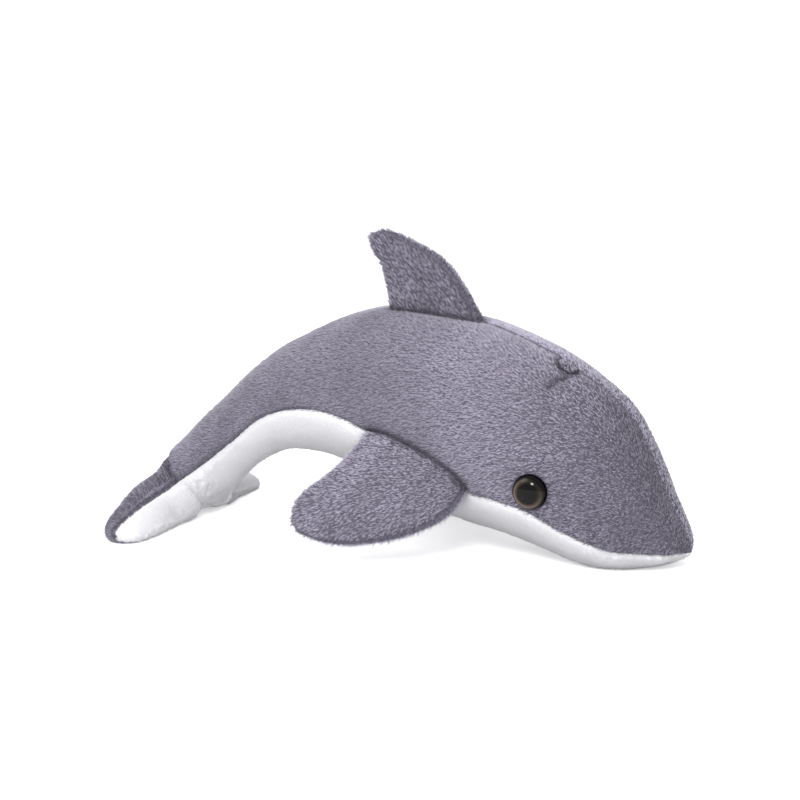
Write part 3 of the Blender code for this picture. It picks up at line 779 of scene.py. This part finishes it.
grey_cloth = cloth_finish("grey_backing", (0.085, 0.078, 0.105), (0.17, 0.155, 0.20))
white_cloth = cloth_finish("white_backing", (0.74, 0.74, 0.78), (0.88, 0.88, 0.90))
dark_cloth = cloth_finish("dark_backing", (0.03, 0.028, 0.04), (0.10, 0.09, 0.12))
# The first colour of each pile is the one at its roots: painted shade deep in the pile.
grey_pile = pile_finish("grey_pile", (0.070, 0.062, 0.085), (0.055, 0.049, 0.068),
                        (0.56, 0.53, 0.66))
white_pile = pile_finish("white_pile", (0.70, 0.70, 0.73), (0.70, 0.70, 0.73),
                         (0.85, 0.85, 0.87))
dark_pile = pile_finish("dark_pile", (0.02, 0.018, 0.024), (0.02, 0.018, 0.024),
                        (0.40, 0.37, 0.46))
print("finishes:", [m.name for m in (grey_cloth, white_cloth, dark_cloth, grey_pile, white_pile,
                                     dark_pile)])

# %% [markdown]
# ## Maps for the pile
# On the real cloth the pile is brushed one way and parts where it is stroked. Hair particles
# could be combed like this, but an export drops them. So each vertex of a skin says how dense
# the pile is, which way it is combed, how long it is and how light it is.

# %% Lay of the pile
LIFT = math.radians(28)
# Height at which the pile starts, and over which it thickens, so that none grows underneath.
ON_GROUND = (0.0002, 0.0006)


def lay_of(points, normals, way, lift):
    """Direction of the tufts: combed along the cloth, and lifted off it."""
    flat = way - (way * normals).sum(-1, keepdims=True) * normals
    return unit(unit(flat) * np.cos(lift) + normals * np.sin(lift))


def flow_over(points, way, face):
    """Distances along and across the combed direction of a nearly flat skin."""
    way = unit(np.asarray(way, float))
    beside = unit(np.cross(face, way))
    side = (points - points.mean((0, 1))) @ face
    return np.stack([points @ way + 0.3 * (side > 0), points @ beside, 0 * side], axis=-1)


def grid_normals(rings):
    """Outward directions on a grid of ring points."""
    rim = np.concatenate([rings[:, -1:], rings, rings[:, :1]], axis=1)
    turn = rim[:, 2:] - rim[:, :-2]
    run = np.gradient(rings, axis=0)
    out = unit(np.cross(turn, run))
    away = rings - rings.mean(1, keepdims=True)
    return out * (1 if (out * away).sum() > 0 else -1)


body_normals = grid_normals(body)
print("pile lifted by %.0f degrees" % math.degrees(LIFT))

# %% [markdown]
# ## The body's pile
# The pile is combed backwards and down. It lies flat and short in the seams, is darker in the
# hollows where little light comes, and parts in longer gaps towards the nose. Painted maps
# would do this by hand. Here each map is worked out from the distances to the seams.

# %% Skin of the body
BACKWARDS = np.broadcast_to(np.array([-1.0, 0.0, -0.15]), body.shape)
FOOT_SHADE = {"flukes": 0.15, "dorsal_fin": 0.85, "flipper_right": 0.55, "flipper_left": 0.55}
steps = np.linalg.norm(np.diff(plain, axis=1, append=plain[:, :1]), axis=-1)
around = np.cumsum(steps, axis=1) - steps
around -= steps.sum(1, keepdims=True) * (np.arange(plain.shape[1]) > plain.shape[1] // 2)
towards_nose = is_back * ramp(t, 8.6, -2.4)
seam_width = valley(from_back, 0.0016)
free = np.ones(body.shape[:2])
for distance in from_fin.values():
    free *= ramp(distance, 0, 0.0008)
for distance, start, width in ((past_hole, 0.0005, 0.0004), (from_back, 0.0005, 0.0003),
                               (from_eye, EYE_DIAMETER / 2 - 0.0006, 0.0004),
                               (body[..., 2], *ON_GROUND)):
    free *= ramp(distance, start, width)
# Shade, distance and width of the hollows that get little light.
HOLLOWS = ((0.22, from_side, 0.0016), (0.75, from_back, 0.0011), (0.45, from_fold, 0.0013),
           (0.15, from_fold, 0.0040), (0.40, past_hole - 0.0005, 0.0007))
hollow = sum(shade * valley(distance, width) for shade, distance, width in HOLLOWS)
for name, distance in from_fin.items():
    hollow += FOOT_SHADE[name] * valley(distance, 0.0018)
    if name.startswith("flipper"):
        hollow += 0.12 * valley(distance, 0.0070)
# Painted shade and light beside the back seam: darker on the right side over the head, and lighter
# on the left side all along.
ahead = ramp(t, 6.9, -1.0) * ramp(t, 0.4, 1.0)
painted_seam_light = np.where(side < 0, -0.26 * valley(from_back, 0.012) * ahead,
                   0.30 * valley(from_back, 0.012))
# Painted light: a lighter band over the head and shoulders. Painted shade: a little darker towards
# the snout.
painted_light_band = 0.20 * valley(t - 8.3, 1.5) - 0.04 * ramp(t, 6.3, -3)
tone = 0.46 + 0.06 * waves(plain, 0.030, 11) + painted_light_band
tone += 0.13 * towards_nose
body_skin = ring_object("body_skin", body, body_finish, (grey_cloth, white_cloth))
put(body_skin.data, comb=lay_of(body, body_normals, BACKWARDS, LIFT),
    upright=shared_facing(body, body_normals, fin_trees["flukes"], on_white),
    flow=np.stack([run + 0 * around, around, 0 * around], axis=-1),
    parting=np.where(is_back, 0.28 + 1.0 * towards_nose, 0.05),
    left_back=free * (is_back & (side > 0)), right_back=free * (is_back & (side < 0)),
    belly=free * ~is_back, tone=np.where(is_back, tone + painted_seam_light - hollow, 0.6),
    long=1 - 0.35 * valley(from_side, 0.0012) - 0.6 * seam_width
    - 0.15 * towards_nose * (1 - seam_width)
    - 0.5 * valley(past_hole - 0.0004, 0.0014) * (1 - seam_width))
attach(body_skin, "root")
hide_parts("back_panel_left", "back_panel_right", "belly_panel", "body_stuffing",
            "eye_washer_left", "eye_washer_right")
print("body skin:", len(body_skin.data.vertices), "vertices")

# %% [markdown]
# ## The pile of the fins and the flukes
# A fin is sewn inside out and turned, so its edge is round with puckers beside it, and its
# seam has rolled a little way onto one side. The skin is sunk along that seam and has no pile
# there. Where the fin meets the body its cloth is gathered in small folds.

# %% Skins of the fins
FIN_SEAM_ROLL, FLIPPER_SEAM_ROLL = 0.0024, 0.0020
FIN_TONE, FLIPPER_TONE, FLUKE_TONE = 0.42, 0.70, 0.42
EDGE_LIFT = math.radians(30)


def add_fin_skin(name, nodes, rings, way, seed, base_tone, from_edge, from_seam, strip=0.0,
                 finishes=GREY, materials=(grey_cloth,)):
    """Skin of a fin, with puckers beside its edges and a sunk line where its seam shows."""
    is_fluke = name == "flukes"
    normals = grid_normals(rings)
    finishes = np.broadcast_to(finishes, rings.shape[:2])
    deep = clearance(rings, body_tree)[0]
    foot = valley(np.maximum(deep, 0), 0.0020)
    white = (finishes == WHITE) * ramp(from_edge, 0, 0.003)
    lumps = (0.0003 * waves(rings, 0.022, seed) - PILE_RISE
             + 0.00018 * puckers(from_edge, length_along(rings[:, 0]), 0.0050, 0.0045, seed + 1))
    folds = 0.0
    if is_fluke:
        lumps -= 0.0003 * foot * (1 - white) + 0.0007 * valley(from_seam, 0.0010)
        lumps += filled(deep, white)
        # The grey cloth is drawn in where it is sewn to the tail.
        lumps -= 0.0014 * valley(rings[..., 1] - FLUKE_SHIFT, 0.022) * (1 - white)
    else:
        beside = np.linalg.norm(np.diff(rings, axis=1, append=rings[:, :1]), axis=-1)
        folds = puckers(np.maximum(deep, 0), np.cumsum(beside, axis=1), 0.0070, 0.0100, seed + 3)
        lumps += 0.0008 * folds
        lumps = (lumps - 0.0011 * foot) * ramp(from_edge, 0, 0.002)
        lumps -= 0.0006 * valley(from_seam, 0.0010)
    shaped = rings + normals * lumps[..., None]
    shaped[..., 2] = np.maximum(shaped[..., 2], 0.0)
    upright = grid_normals(shaped)
    if is_fluke:
        upright = shared_facing(shaped, upright, body_tree, white)
    way = np.broadcast_to(np.asarray(way, float), rings.shape)
    lift = LIFT + EDGE_LIFT * valley(from_edge, 0.0025)
    face = unit(normals[:, 3:rings.shape[1] // 2 - 2].mean((0, 1)))
    free = (ramp(deep, 0.0002, 0.0008) * ramp(from_seam, 0.0006, 0.0003)
            * ramp(shaped[..., 2], *ON_GROUND))
    # Painted light and shade: lighter on the strip past the seam and on the ridges of the folds,
    # darker in their troughs, along the sunk seam and at the foot against the body.
    tone = (base_tone + 0.08 * waves(rings, 0.018, seed + 2) + 0.25 * strip + 0.22 * folds
            - 0.80 * valley(from_seam, 0.0013) - (0.15 if is_fluke else 0.40) * foot)
    skin = ring_object(name, shaped, finishes, materials)
    put(skin.data, comb=lay_of(shaped, normals, way, lift[..., None]),
        flow=flow_over(shaped, way[0, 0], face),
        parting=np.where(finishes == GREY, 0.5 if is_fluke else 0.9, 0.05), upright=upright,
        grey=free * (finishes == GREY), white=free * (finishes == WHITE),
        tone=np.where(finishes == GREY, tone, 0.6),
        long=1 + 0.35 * valley(from_edge, 0.0020) - 0.7 * valley(from_seam, 0.0016))
    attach(skin, "root")
    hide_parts(*nodes)
    return skin


def edge_distances(rings, seen_way, roll):
    """Distances from the nearer edge of a fin and from its seam, and the strip past the seam.

    The seam of the leading edge has rolled a little way onto the side that faces a direction.
    """
    half = rings.shape[1] // 2
    lead = np.linalg.norm(rings - rings[:, :1], axis=-1)
    trail = np.linalg.norm(rings - rings[:, half:half + 1], axis=-1)
    front_faces = grid_normals(rings)[:, 2:half - 1].mean((0, 1)) @ np.asarray(seen_way)
    on_side = (np.arange(rings.shape[1]) <= half) == (front_faces > 0)
    seen = np.where(on_side, lead, -lead)
    strip = ramp(seen, roll - 0.0006, -0.0006) * ramp(lead, 0.004, -0.002)
    return np.minimum(lead, trail), np.abs(seen - roll), strip


fin = skins["dorsal_fin"]
fin_skin = add_fin_skin("dorsal_fin", ("dorsal_fin_left_panel", "dorsal_fin_right_panel",
                                       "dorsal_fin_stuffing"), fin, (-0.62, 0, 0.8), 21,
                        FIN_TONE, *edge_distances(fin, (0, -1, 0), FIN_SEAM_ROLL))
flipper_skins = [
    add_fin_skin(name, [f"{name}_{piece}" for piece in ("upper_panel", "lower_panel", "stuffing")],
                 skins[name], (-1.0, 0, -0.5), 31, FLIPPER_TONE,
                 *edge_distances(skins[name], (0, outwards, 0), FLIPPER_SEAM_ROLL))
    for name, outwards in (("flipper_right", -1), ("flipper_left", 1))]
print("skins:", [o.name for o in (fin_skin, *flipper_skins)])

# %% [markdown]
# ## Where the flukes change from grey to white
# The seam of the flukes lies a little way onto their front, and a little way up their back.
# It comes closer to the edge towards the tips.

# %% Skin of the flukes
flukes = skins["flukes"]
half = flukes.shape[1] // 2
outwards = np.abs(np.linspace(-1, 1, len(flukes)))[:, None]
on_front = np.arange(flukes.shape[1])[None, :] <= half
past_lead = np.linalg.norm(flukes - flukes[:, :1], axis=-1) * np.where(on_front, 1, -1)
past_lead -= 0.0036 - 0.0018 * outwards ** 3
past_trail = np.linalg.norm(flukes - flukes[:, half:half + 1], axis=-1)
past_trail = 0.0022 - past_trail * np.where(on_front, -1, 1)
into_white = np.minimum(past_lead, past_trail)
fluke_skin = add_fin_skin("flukes", ("flukes_top_panel", "flukes_under_panel", "flukes_stuffing"),
                          flukes, (-1.0, 0, -0.3), 41, FLUKE_TONE, np.abs(into_white),
                          np.abs(into_white), finishes=np.where(into_white > 0, WHITE, GREY),
                          materials=(grey_cloth, white_cloth))
print("flukes: %.0f%% white" % (100 * (into_white > 0).mean()))

# %% [markdown]
# ## Pile
# The real pile is about 2 mm long, with two or three visible tufts on a square millimetre.
# One Geometry Nodes tree grows it all. It scatters points on a skin, stands a closed
# three-sided spike on each along the combed direction with some disorder, and gives each
# spike its shade and its own small place in the texture map. Three sides are enough at this
# size, and they keep the mesh light.

# %% Pile tree
def pile_tree():
    """Tree that grows tufts on a skin, with named inputs."""
    tree = bpy.data.node_groups.new("pile_tufts", "GeometryNodeTree")
    for label, kind, value in (
        ("Geometry", "Geometry", None), ("Where", "String", "grey"),
        ("Tufts per mm2", "Float", 2.4), ("Length", "Float", 0.002), ("Width", "Float", 0.0005),
        ("Disorder", "Float", 0.35), ("Contrast", "Float", 0.4),
        ("Clump Length", "Float", 0.0026), ("Clump Width", "Float", 0.0012),
        ("Seed", "Int", 1), ("Finish", "Material", None),
    ):
        socket = tree.interface.new_socket(label, in_out="INPUT",
                                           socket_type="NodeSocket" + kind)
        if value is not None:
            socket.default_value = value
    tree.interface.new_socket("Geometry", in_out="OUTPUT", socket_type="NodeSocketGeometry")
    start, end = tree.nodes.new("NodeGroupInput"), tree.nodes.new("NodeGroupOutput")
    give = start.outputs

    def node(kind, links=(), **settings):
        made = tree.nodes.new(kind)
        for label, value in settings.items():
            setattr(made, label, value)
        for label, value in links:
            socket = (made.inputs[label] if isinstance(label, int) else
                      next(s for s in made.inputs if s.name == label and s.enabled))
            if isinstance(value, bpy.types.NodeSocket):
                tree.links.new(value, socket)
            else:
                socket.default_value = value
        return made

    def out(made, label=None):
        return next(s for s in made.outputs if s.enabled and (label is None or s.name == label))

    def read(label, kind="FLOAT"):
        return out(node("GeometryNodeInputNamedAttribute", [("Name", label)], data_type=kind),
                   "Attribute")

    def scaled(value, by, add=0.0):
        return out(node("ShaderNodeMath", [(0, value), (1, by), (2, add)],
                        operation="MULTIPLY_ADD"))

    def vectors(operation, *terms, **named):
        return out(node("ShaderNodeVectorMath", [*enumerate(terms), *named.items()],
                        operation=operation))

    def joined(x, y, z=0.0):
        return out(node("ShaderNodeCombineXYZ", [("X", x), ("Y", y), ("Z", z)]))

    def part(vector, axis):
        return out(node("ShaderNodeSeparateXYZ", [("Vector", vector)]), axis)

    def chance(low, high, seed):
        return out(node("FunctionNodeRandomValue", [("Min", low), ("Max", high),
                                                    ("Seed", scaled(give["Seed"], 1.0, seed))]),
                   "Value")

    def cells(label, **settings):
        return out(node("ShaderNodeTexVoronoi", [("Vector", grid), ("Scale", 1.0)],
                        voronoi_dimensions="2D", **settings), label)

    def store(geometry, label, value, kind="FLOAT", domain="POINT"):
        return out(node("GeometryNodeStoreNamedAttribute",
                        [("Geometry", geometry), ("Name", label), ("Value", value)],
                        data_type=kind, domain=domain), "Geometry")

    density = scaled(scaled(read(give["Where"]), give["Tufts per mm2"]), 1e6)
    scatter = node("GeometryNodeDistributePointsOnFaces",
                   [("Mesh", give["Geometry"]), ("Density", density), ("Seed", give["Seed"])],
                   distribute_method="RANDOM")
    # Long cells of pile lean together and leave partings between them, where the tufts are shorter
    # and painted darker as shade.
    grid = vectors("DIVIDE", read("flow", "FLOAT_VECTOR"),
                   joined(give["Clump Length"], give["Clump Width"], 1.0))
    bend = node("ShaderNodeTexNoise", [("Vector", grid), ("Scale", 1.3), ("Detail", 1.0)])
    grid = vectors("MULTIPLY_ADD", out(bend, "Color"), (1.1, 1.1, 0.0), grid)
    parting = read("parting")
    gap = out(node("ShaderNodeMapRange",
                   [("Value", cells("Distance", feature="DISTANCE_TO_EDGE")),
                    ("From Min", 0.04), ("From Max", 0.21), ("To Min", 1.0), ("To Max", 0.0)],
                   interpolation_type="SMOOTHSTEP"), "Result")
    gap = scaled(gap, parting)
    own = vectors("ADD", cells("Color"), (-0.5, -0.5, -0.5))
    shade = scaled(chance(-0.5, 0.5, 1.0), give["Contrast"], read("tone"))
    shade = scaled(scaled(part(own, "X"), parting), 0.12, shade)
    # Painted shade: tufts in the partings are darker.
    shade = out(node("ShaderNodeClamp", [("Value", scaled(gap, -0.60, shade))]))
    points = store(out(scatter, "Points"), "shade", shade)
    points = store(points, "upright", read("upright", "FLOAT_VECTOR"), "FLOAT_VECTOR")

    astray = out(node("FunctionNodeRandomValue",
                      [("Min", (-1.0, -1.0, -1.0)), ("Max", (1.0, 1.0, 1.0)),
                       ("Seed", give["Seed"])], data_type="FLOAT_VECTOR"), "Value")
    way = vectors("ADD", vectors("SCALE", astray, Scale=give["Disorder"]),
                  read("comb", "FLOAT_VECTOR"))
    way = vectors("ADD", way, vectors("SCALE", own, Scale=scaled(parting, 0.35)))
    turn = out(node("FunctionNodeAlignRotationToVector", [("Vector", way)], axis="Z"))

    spike = node("GeometryNodeMeshCone",
                 [("Vertices", 3), ("Radius Top", 0.0), ("Radius Bottom", 0.5), ("Depth", 1.0)])
    place = out(node("GeometryNodeInputPosition"))
    spike_mesh = store(out(spike, "Mesh"), "tip", part(place, "Z"))
    spike_mesh = store(spike_mesh, "aside", part(place, "X"))

    width = scaled(give["Width"], chance(0.7, 1.3, 2.0))
    length = scaled(scaled(give["Length"], chance(0.65, 1.25, 3.0)), read("long"))
    length = scaled(length, scaled(gap, -0.45, 1.0))
    tufts = node("GeometryNodeInstanceOnPoints",
                 [("Points", points), ("Instance", spike_mesh), ("Rotation", turn),
                  ("Scale", joined(width, width, length))])
    solid = out(node("GeometryNodeRealizeInstances", [("Geometry", out(tufts))]), "Geometry")
    spot = joined(scaled(read("aside"), 0.03, scaled(read("shade"), 0.8, 0.1)),
                  scaled(read("tip"), 0.9, 0.05))
    solid = store(solid, "OFBake", spot, "FLOAT2", "CORNER")
    solid = out(node("GeometryNodeSetShadeSmooth", [("Geometry", solid)]), "Geometry")
    solid = out(node("GeometryNodeSetMaterial",
                     [("Geometry", solid), ("Material", give["Finish"])]), "Geometry")
    tree.links.new(solid, end.inputs[0])
    return tree


PILE = pile_tree()
IDENTIFIERS = {item.name: item.identifier for item in PILE.interface.items_tree
               if item.in_out == "INPUT"}
print("pile tree:", len(PILE.nodes), "nodes")

# %% [markdown]
# ## From tree to mesh
# The tree's result becomes a plain mesh of its own, because an export drops instances and
# modifiers. Spikes would shade like thorns, so their normals turn towards the cloth below.
# Where the toy lies on the ground, its pile is pressed flat.

# %% Growing
UNDER_FLOOR_SHARE = 0.04  # Tufts keep this share of what they reach below the floor.


def soften(mesh, share):
    """Turns the shading of the tufts towards the cloth below, so that they shade as one."""
    own = np.zeros(len(mesh.vertices) * 3, np.float32)
    mesh.vertex_normals.foreach_get("vector", own)
    upright = np.zeros_like(own)
    mesh.attributes["upright"].data.foreach_get("vector", upright)
    mesh.attributes.remove(mesh.attributes["upright"])
    way = unit(share * upright.reshape(-1, 3) + (1 - share) * own.reshape(-1, 3))
    mesh.normals_split_custom_set_from_vertices(way.tolist())


def flatten(mesh):
    """Presses the tufts that reach below the floor almost flat on it."""
    places = np.zeros(len(mesh.vertices) * 3, np.float32)
    mesh.vertices.foreach_get("co", places)
    heights = places[2::3]
    places[2::3] = np.where(heights < 0, heights * UNDER_FLOOR_SHARE, heights)
    mesh.vertices.foreach_set("co", places)
    mesh.update()


def grow(name, skin, where, tufts, seed, pile):
    """Pile on a skin, as a plain mesh that rides with the body."""
    tool = skin.modifiers.new("pile", "NODES")
    tool.node_group = PILE
    inputs = {"Where": where, "Tufts per mm2": tufts, "Seed": seed, **pile}
    even = inputs.pop("even")
    for label, value in inputs.items():
        tool[IDENTIFIERS[label]] = value
    bpy.context.view_layer.update()
    graph = bpy.context.evaluated_depsgraph_get()
    mesh = bpy.data.meshes.new_from_object(skin.evaluated_get(graph), depsgraph=graph,
                                           preserve_all_data_layers=True)
    skin.modifiers.remove(tool)
    soften(mesh, even)
    flatten(mesh)
    mesh.name = name
    made = new_object(name, mesh)
    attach(made, "root")
    print(name, "tufts:", len(mesh.polygons) // 4)
    return made


GREY_PILE = {"Length": 0.0017, "Width": 0.00040, "Disorder": 0.22, "Contrast": 0.16,
             "Finish": grey_pile, "even": 0.45}
BACK_PILE = {**GREY_PILE, "Clump Length": 0.0020, "Clump Width": 0.0011}
FIN_PILE = {**GREY_PILE, "Clump Length": 0.0036, "Clump Width": 0.0013}
WHITE_PILE = {"Length": 0.0014, "Width": 0.00060, "Disorder": 0.18, "Contrast": 0.08,
              "Finish": white_pile, "even": 0.85}
COATS = (
    # name, skin, slot, where it grows, tufts on a square millimetre, kind
    ("pile_back_right", body_skin, "back_panel_right", "right_back", 2.7, BACK_PILE),
    ("pile_back_left", body_skin, "back_panel_left", "left_back", 2.7, BACK_PILE),
    ("pile_belly", body_skin, "belly_panel", "belly", 2.2, WHITE_PILE),
    ("pile_fin", fin_skin, "dorsal_fin_right_panel", "grey", 3.2, FIN_PILE),
    ("pile_flipper_right", flipper_skins[0], "flipper_right_upper_panel", "grey", 3.2, GREY_PILE),
    ("pile_flipper_left", flipper_skins[1], "flipper_left_upper_panel", "grey", 3.2, GREY_PILE),
    ("pile_flukes_top", fluke_skin, "flukes_top_panel", "grey", 3.2, GREY_PILE),
    ("pile_flukes_under", fluke_skin, "flukes_under_panel", "white", 2.4, WHITE_PILE),
)
for number, (name, skin, slot, where, tufts, pile) in enumerate(COATS):
    grow(name, skin, where, tufts, number + 1, pile)

# %% [markdown]
# ## Eyes
# A safety eye is one piece of clear-coated plastic with its colours inside. A texture could
# hold the rings, but here a colour ramp follows the distance from the dome's axis: a dark rim,
# a brown iris with painted light that makes it lighter low down, and a black pupil.

# %% Eyes
EYE_RINGS, EYE_SEGMENTS = 21, 64
IRIS = ((0.0, (0.003, 0.003, 0.003)), (0.56, (0.004, 0.003, 0.003)),
        (0.66, (0.034, 0.024, 0.018)), (0.79, (0.088, 0.065, 0.050)),
        (0.85, (0.042, 0.031, 0.025)), (0.89, (0.004, 0.003, 0.003)),
        (1.0, (0.003, 0.003, 0.003)))


def eye_finish():
    """Glossy finish with an iris drawn by rings."""
    made, node = shader("eye_gloss", 0.3, specular=0.0, coat=0.30)
    tree = made.node_tree
    iris = tree.nodes.new("ShaderNodeValToRGB")
    stops = iris.color_ramp.elements
    stops[0].color, stops[1].color = (*IRIS[0][1], 1), (*IRIS[-1][1], 1)
    for place, colour in IRIS[1:-1]:
        stops.new(place).color = (*colour, 1)
    tree.links.new(attribute(tree, "ring"), iris.inputs["Fac"])
    # Painted light: the iris is brighter low down and towards the tail.
    glow = maths(tree, "MULTIPLY_ADD", attribute(tree, "low"), 2.4, -0.2)
    bright = tree.nodes.new("ShaderNodeVectorMath")
    bright.operation = "SCALE"
    tree.links.new(iris.outputs["Color"], bright.inputs[0])
    tree.links.new(glow, bright.inputs["Scale"])
    tree.links.new(bright.outputs[0], node.inputs["Base Color"])
    return made


eye_gloss = eye_finish()


def add_eye(label, place):
    """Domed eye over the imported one, from the dome's top to its back."""
    radius = EYE_DIAMETER / 2
    dome = EYE_DOME_HEIGHT - EYE_EDGE
    arc = np.linspace(0, math.pi / 2, EYE_RINGS + 1)[1:]
    profile = [(radius * math.sin(a), EYE_EDGE + dome * math.cos(a)) for a in arc]
    profile += [(radius, 0.0003), (radius - 0.0003, 0.0), (radius * 0.5, -0.0004)]
    spin = np.linspace(0, 2 * math.pi, EYE_SEGMENTS + 1)[:-1]
    rings = np.array([[(r * math.cos(s), r * math.sin(s), h) for s in spin]
                      for r, h in profile])
    matrix = np.array(place)
    rings = rings @ matrix[:3, :3].T + matrix[:3, 3]
    made = ring_object(f"eye_dome_{label}", rings, 0, (eye_gloss,))
    share = np.array([[r / radius] * EYE_SEGMENTS for r, _ in profile])
    share[len(arc):] = 1.0
    # How low and how far towards the tail a point lies, for the painted light on the iris.
    height = rings[..., 2] - rings[..., 2].mean()
    slant = -height * 0.75 - (rings[..., 0] - rings[..., 0].mean()) * 0.65
    put(made.data, ring=share, low=np.clip(0.5 + slant / (2 * radius), 0, 1))
    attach(made, "root")
    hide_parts(f"eye_{label}")
    return made


eyes = [add_eye(label, place) for label, place in eye_frames.items()]
print("eyes:", [o.name for o in eyes])

# %% [markdown]
# ## Blowhole
# On the real toy an oval of darker cloth lies on the back beside the seam, sewn down round its
# rim. A flat disc would float over the curved back, so each point of the patch is set on the
# nearest point of the skin and raised from there.

# %% Blowhole
PATCH_RINGS, PATCH_SEGMENTS = 18, 48


def add_blowhole():
    """Low oval patch that follows the back."""
    place = frame_on_body(BLOWHOLE_STATION, BLOWHOLE_ANGLE, 0.0)
    spin = np.linspace(0, 2 * math.pi, PATCH_SEGMENTS + 1)[:-1]
    shares = np.concatenate([np.linspace(0.04, 1, PATCH_RINGS), [1.02, 0.9]])
    rings = np.zeros((len(shares), PATCH_SEGMENTS, 3))
    normals = np.zeros_like(rings)
    for number, share in enumerate(shares):
        dome = 0.0004 + BLOWHOLE_RISE * math.sqrt(max(1 - share ** 2, 0))
        stitch = 0.0004 * math.exp(-((share - 0.86) / 0.06) ** 2)
        height = dome - stitch if number < PATCH_RINGS else -0.0008
        for column, s in enumerate(spin):
            flat = Vector((share * BLOWHOLE_WIDTH / 2 * math.cos(s),
                           share * BLOWHOLE_LENGTH / 2 * math.sin(s), 0))
            near, normal, _, _ = body_tree.find_nearest(place @ flat)
            rings[number, column] = near + normal * height
            normals[number, column] = normal
    made = ring_object("blowhole_patch", rings, 0, (dark_cloth,))
    way = np.broadcast_to(np.array([-1.0, 0.3, -0.2]), rings.shape)
    each = np.ones(rings.shape[:2])
    rim = valley(shares[:, None] - 0.94, 0.10) * each
    put(made.data, comb=lay_of(rings, normals, way, math.radians(25)),
        grey=each * (np.arange(len(shares)) < PATCH_RINGS)[:, None], tone=0.85 - 0.85 * rim,
        long=0.6 * each, upright=normals, flow=rings, parting=0.3 * each)
    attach(made, "root")
    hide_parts("blowhole")
    return made


blowhole = add_blowhole()
DARK_PILE = {**GREY_PILE, "Finish": dark_pile, "Length": 0.0014}
grow("pile_blowhole", blowhole, "grey", 3.0, len(COATS) + 1, DARK_PILE)

# %% [markdown]
# ## Studio
# The photo has a plain white surround and soft light. A white floor takes the toy's shadow, and
# only the camera, mirrors and glass see its extra glow, so that it doesn't light the toy. One
# light stands above the camera, one towards the tail and one behind the toy. A single lamp
# would leave the side away from it dark.

# %% Floor, lights and world
bpy.ops.mesh.primitive_plane_add(size=12)
floor = bpy.context.object
floor.name = "floor"
floor_white, floor_shader = shader("floor_white", 1.0, specular=0.0)
floor_shader.inputs["Base Color"].default_value = (0.93, 0.93, 0.94, 1)


def view_way(azimuth, elevation):
    """Direction from the toy to a viewer, in degrees round from its right side and up."""
    azimuth, elevation = math.radians(azimuth), math.radians(elevation)
    return Vector((math.sin(azimuth) * math.cos(elevation),
                   -math.cos(azimuth) * math.cos(elevation), math.sin(elevation)))


def seen_straight(tree):
    """1 for rays that come from the camera, a mirror or glass."""
    path = tree.nodes.new("ShaderNodeLightPath")
    seen = maths(tree, "MAXIMUM", path.outputs["Is Camera Ray"], path.outputs["Is Glossy Ray"])
    return maths(tree, "MAXIMUM", seen, path.outputs["Is Transmission Ray"])


floor_glow = maths(floor_white.node_tree, "MULTIPLY", seen_straight(floor_white.node_tree), 0.5)
floor_shader.inputs["Emission Color"].default_value = (1, 1, 1, 1)
floor_white.node_tree.links.new(floor_glow, floor_shader.inputs["Emission Strength"])
floor.data.materials.append(floor_white)


def soft_light(name, azimuth, elevation, distance, size, level):
    """Round soft light. Its level is what it alone gives a white surface that faces it."""
    target = Vector((0, 0, 0.05))
    place = target + view_way(azimuth, elevation) * distance
    data = bpy.data.lights.new(name, "AREA")
    data.shape, data.size = "DISK", size
    data.energy = level * (math.pi * distance) ** 2
    made = new_object(name, data)
    made.location = place
    made.rotation_euler = (target - place).to_track_quat("-Z", "Y").to_euler()


soft_light("key_light", 15, 31, 1.3, 0.32, 0.60)
soft_light("side_light", -45, 45, 1.5, 0.9, 0.35)
soft_light("top_light", -170, 60, 1.5, 1.1, 0.35)

world = bpy.data.worlds.new("studio")
scene.world = world
world.use_nodes = True
strength = maths(world.node_tree, "MULTIPLY_ADD", seen_straight(world.node_tree), 0.35, 0.65)
background = world.node_tree.nodes["Background"]
background.inputs["Color"].default_value = (1, 1, 1, 1)
world.node_tree.links.new(strength, background.inputs["Strength"])
scene.view_settings.view_transform = "Standard"

# %% [markdown]
# ## Camera
# The photo looks at the toy from 25 degrees ahead of its right side and 12 degrees above it. The
# view was fitted to the outline in the photo, and a lens of this length from 1.2 m away gives
# the toy the same size in the picture.

# %% Camera
CAMERA_DISTANCE, AIM_HEIGHT = 1.2, 0.0584
SENSOR, FOCAL_PIXELS, PICTURE_PIXELS = 36, 2857, 800
back = view_way(25, 12)
camera_data = bpy.data.cameras.new("camera")
camera_data.lens = SENSOR * FOCAL_PIXELS / PICTURE_PIXELS
camera_data.sensor_width = SENSOR
camera_data.clip_start = 0.05
camera = new_object("camera", camera_data)
camera.location = Vector((float(SHIFT[0]), 0, AIM_HEIGHT)) + back * CAMERA_DISTANCE
camera.rotation_euler = back.to_track_quat("Z", "Y").to_euler()
scene.camera = camera
print("lens: %.1f mm" % camera_data.lens)
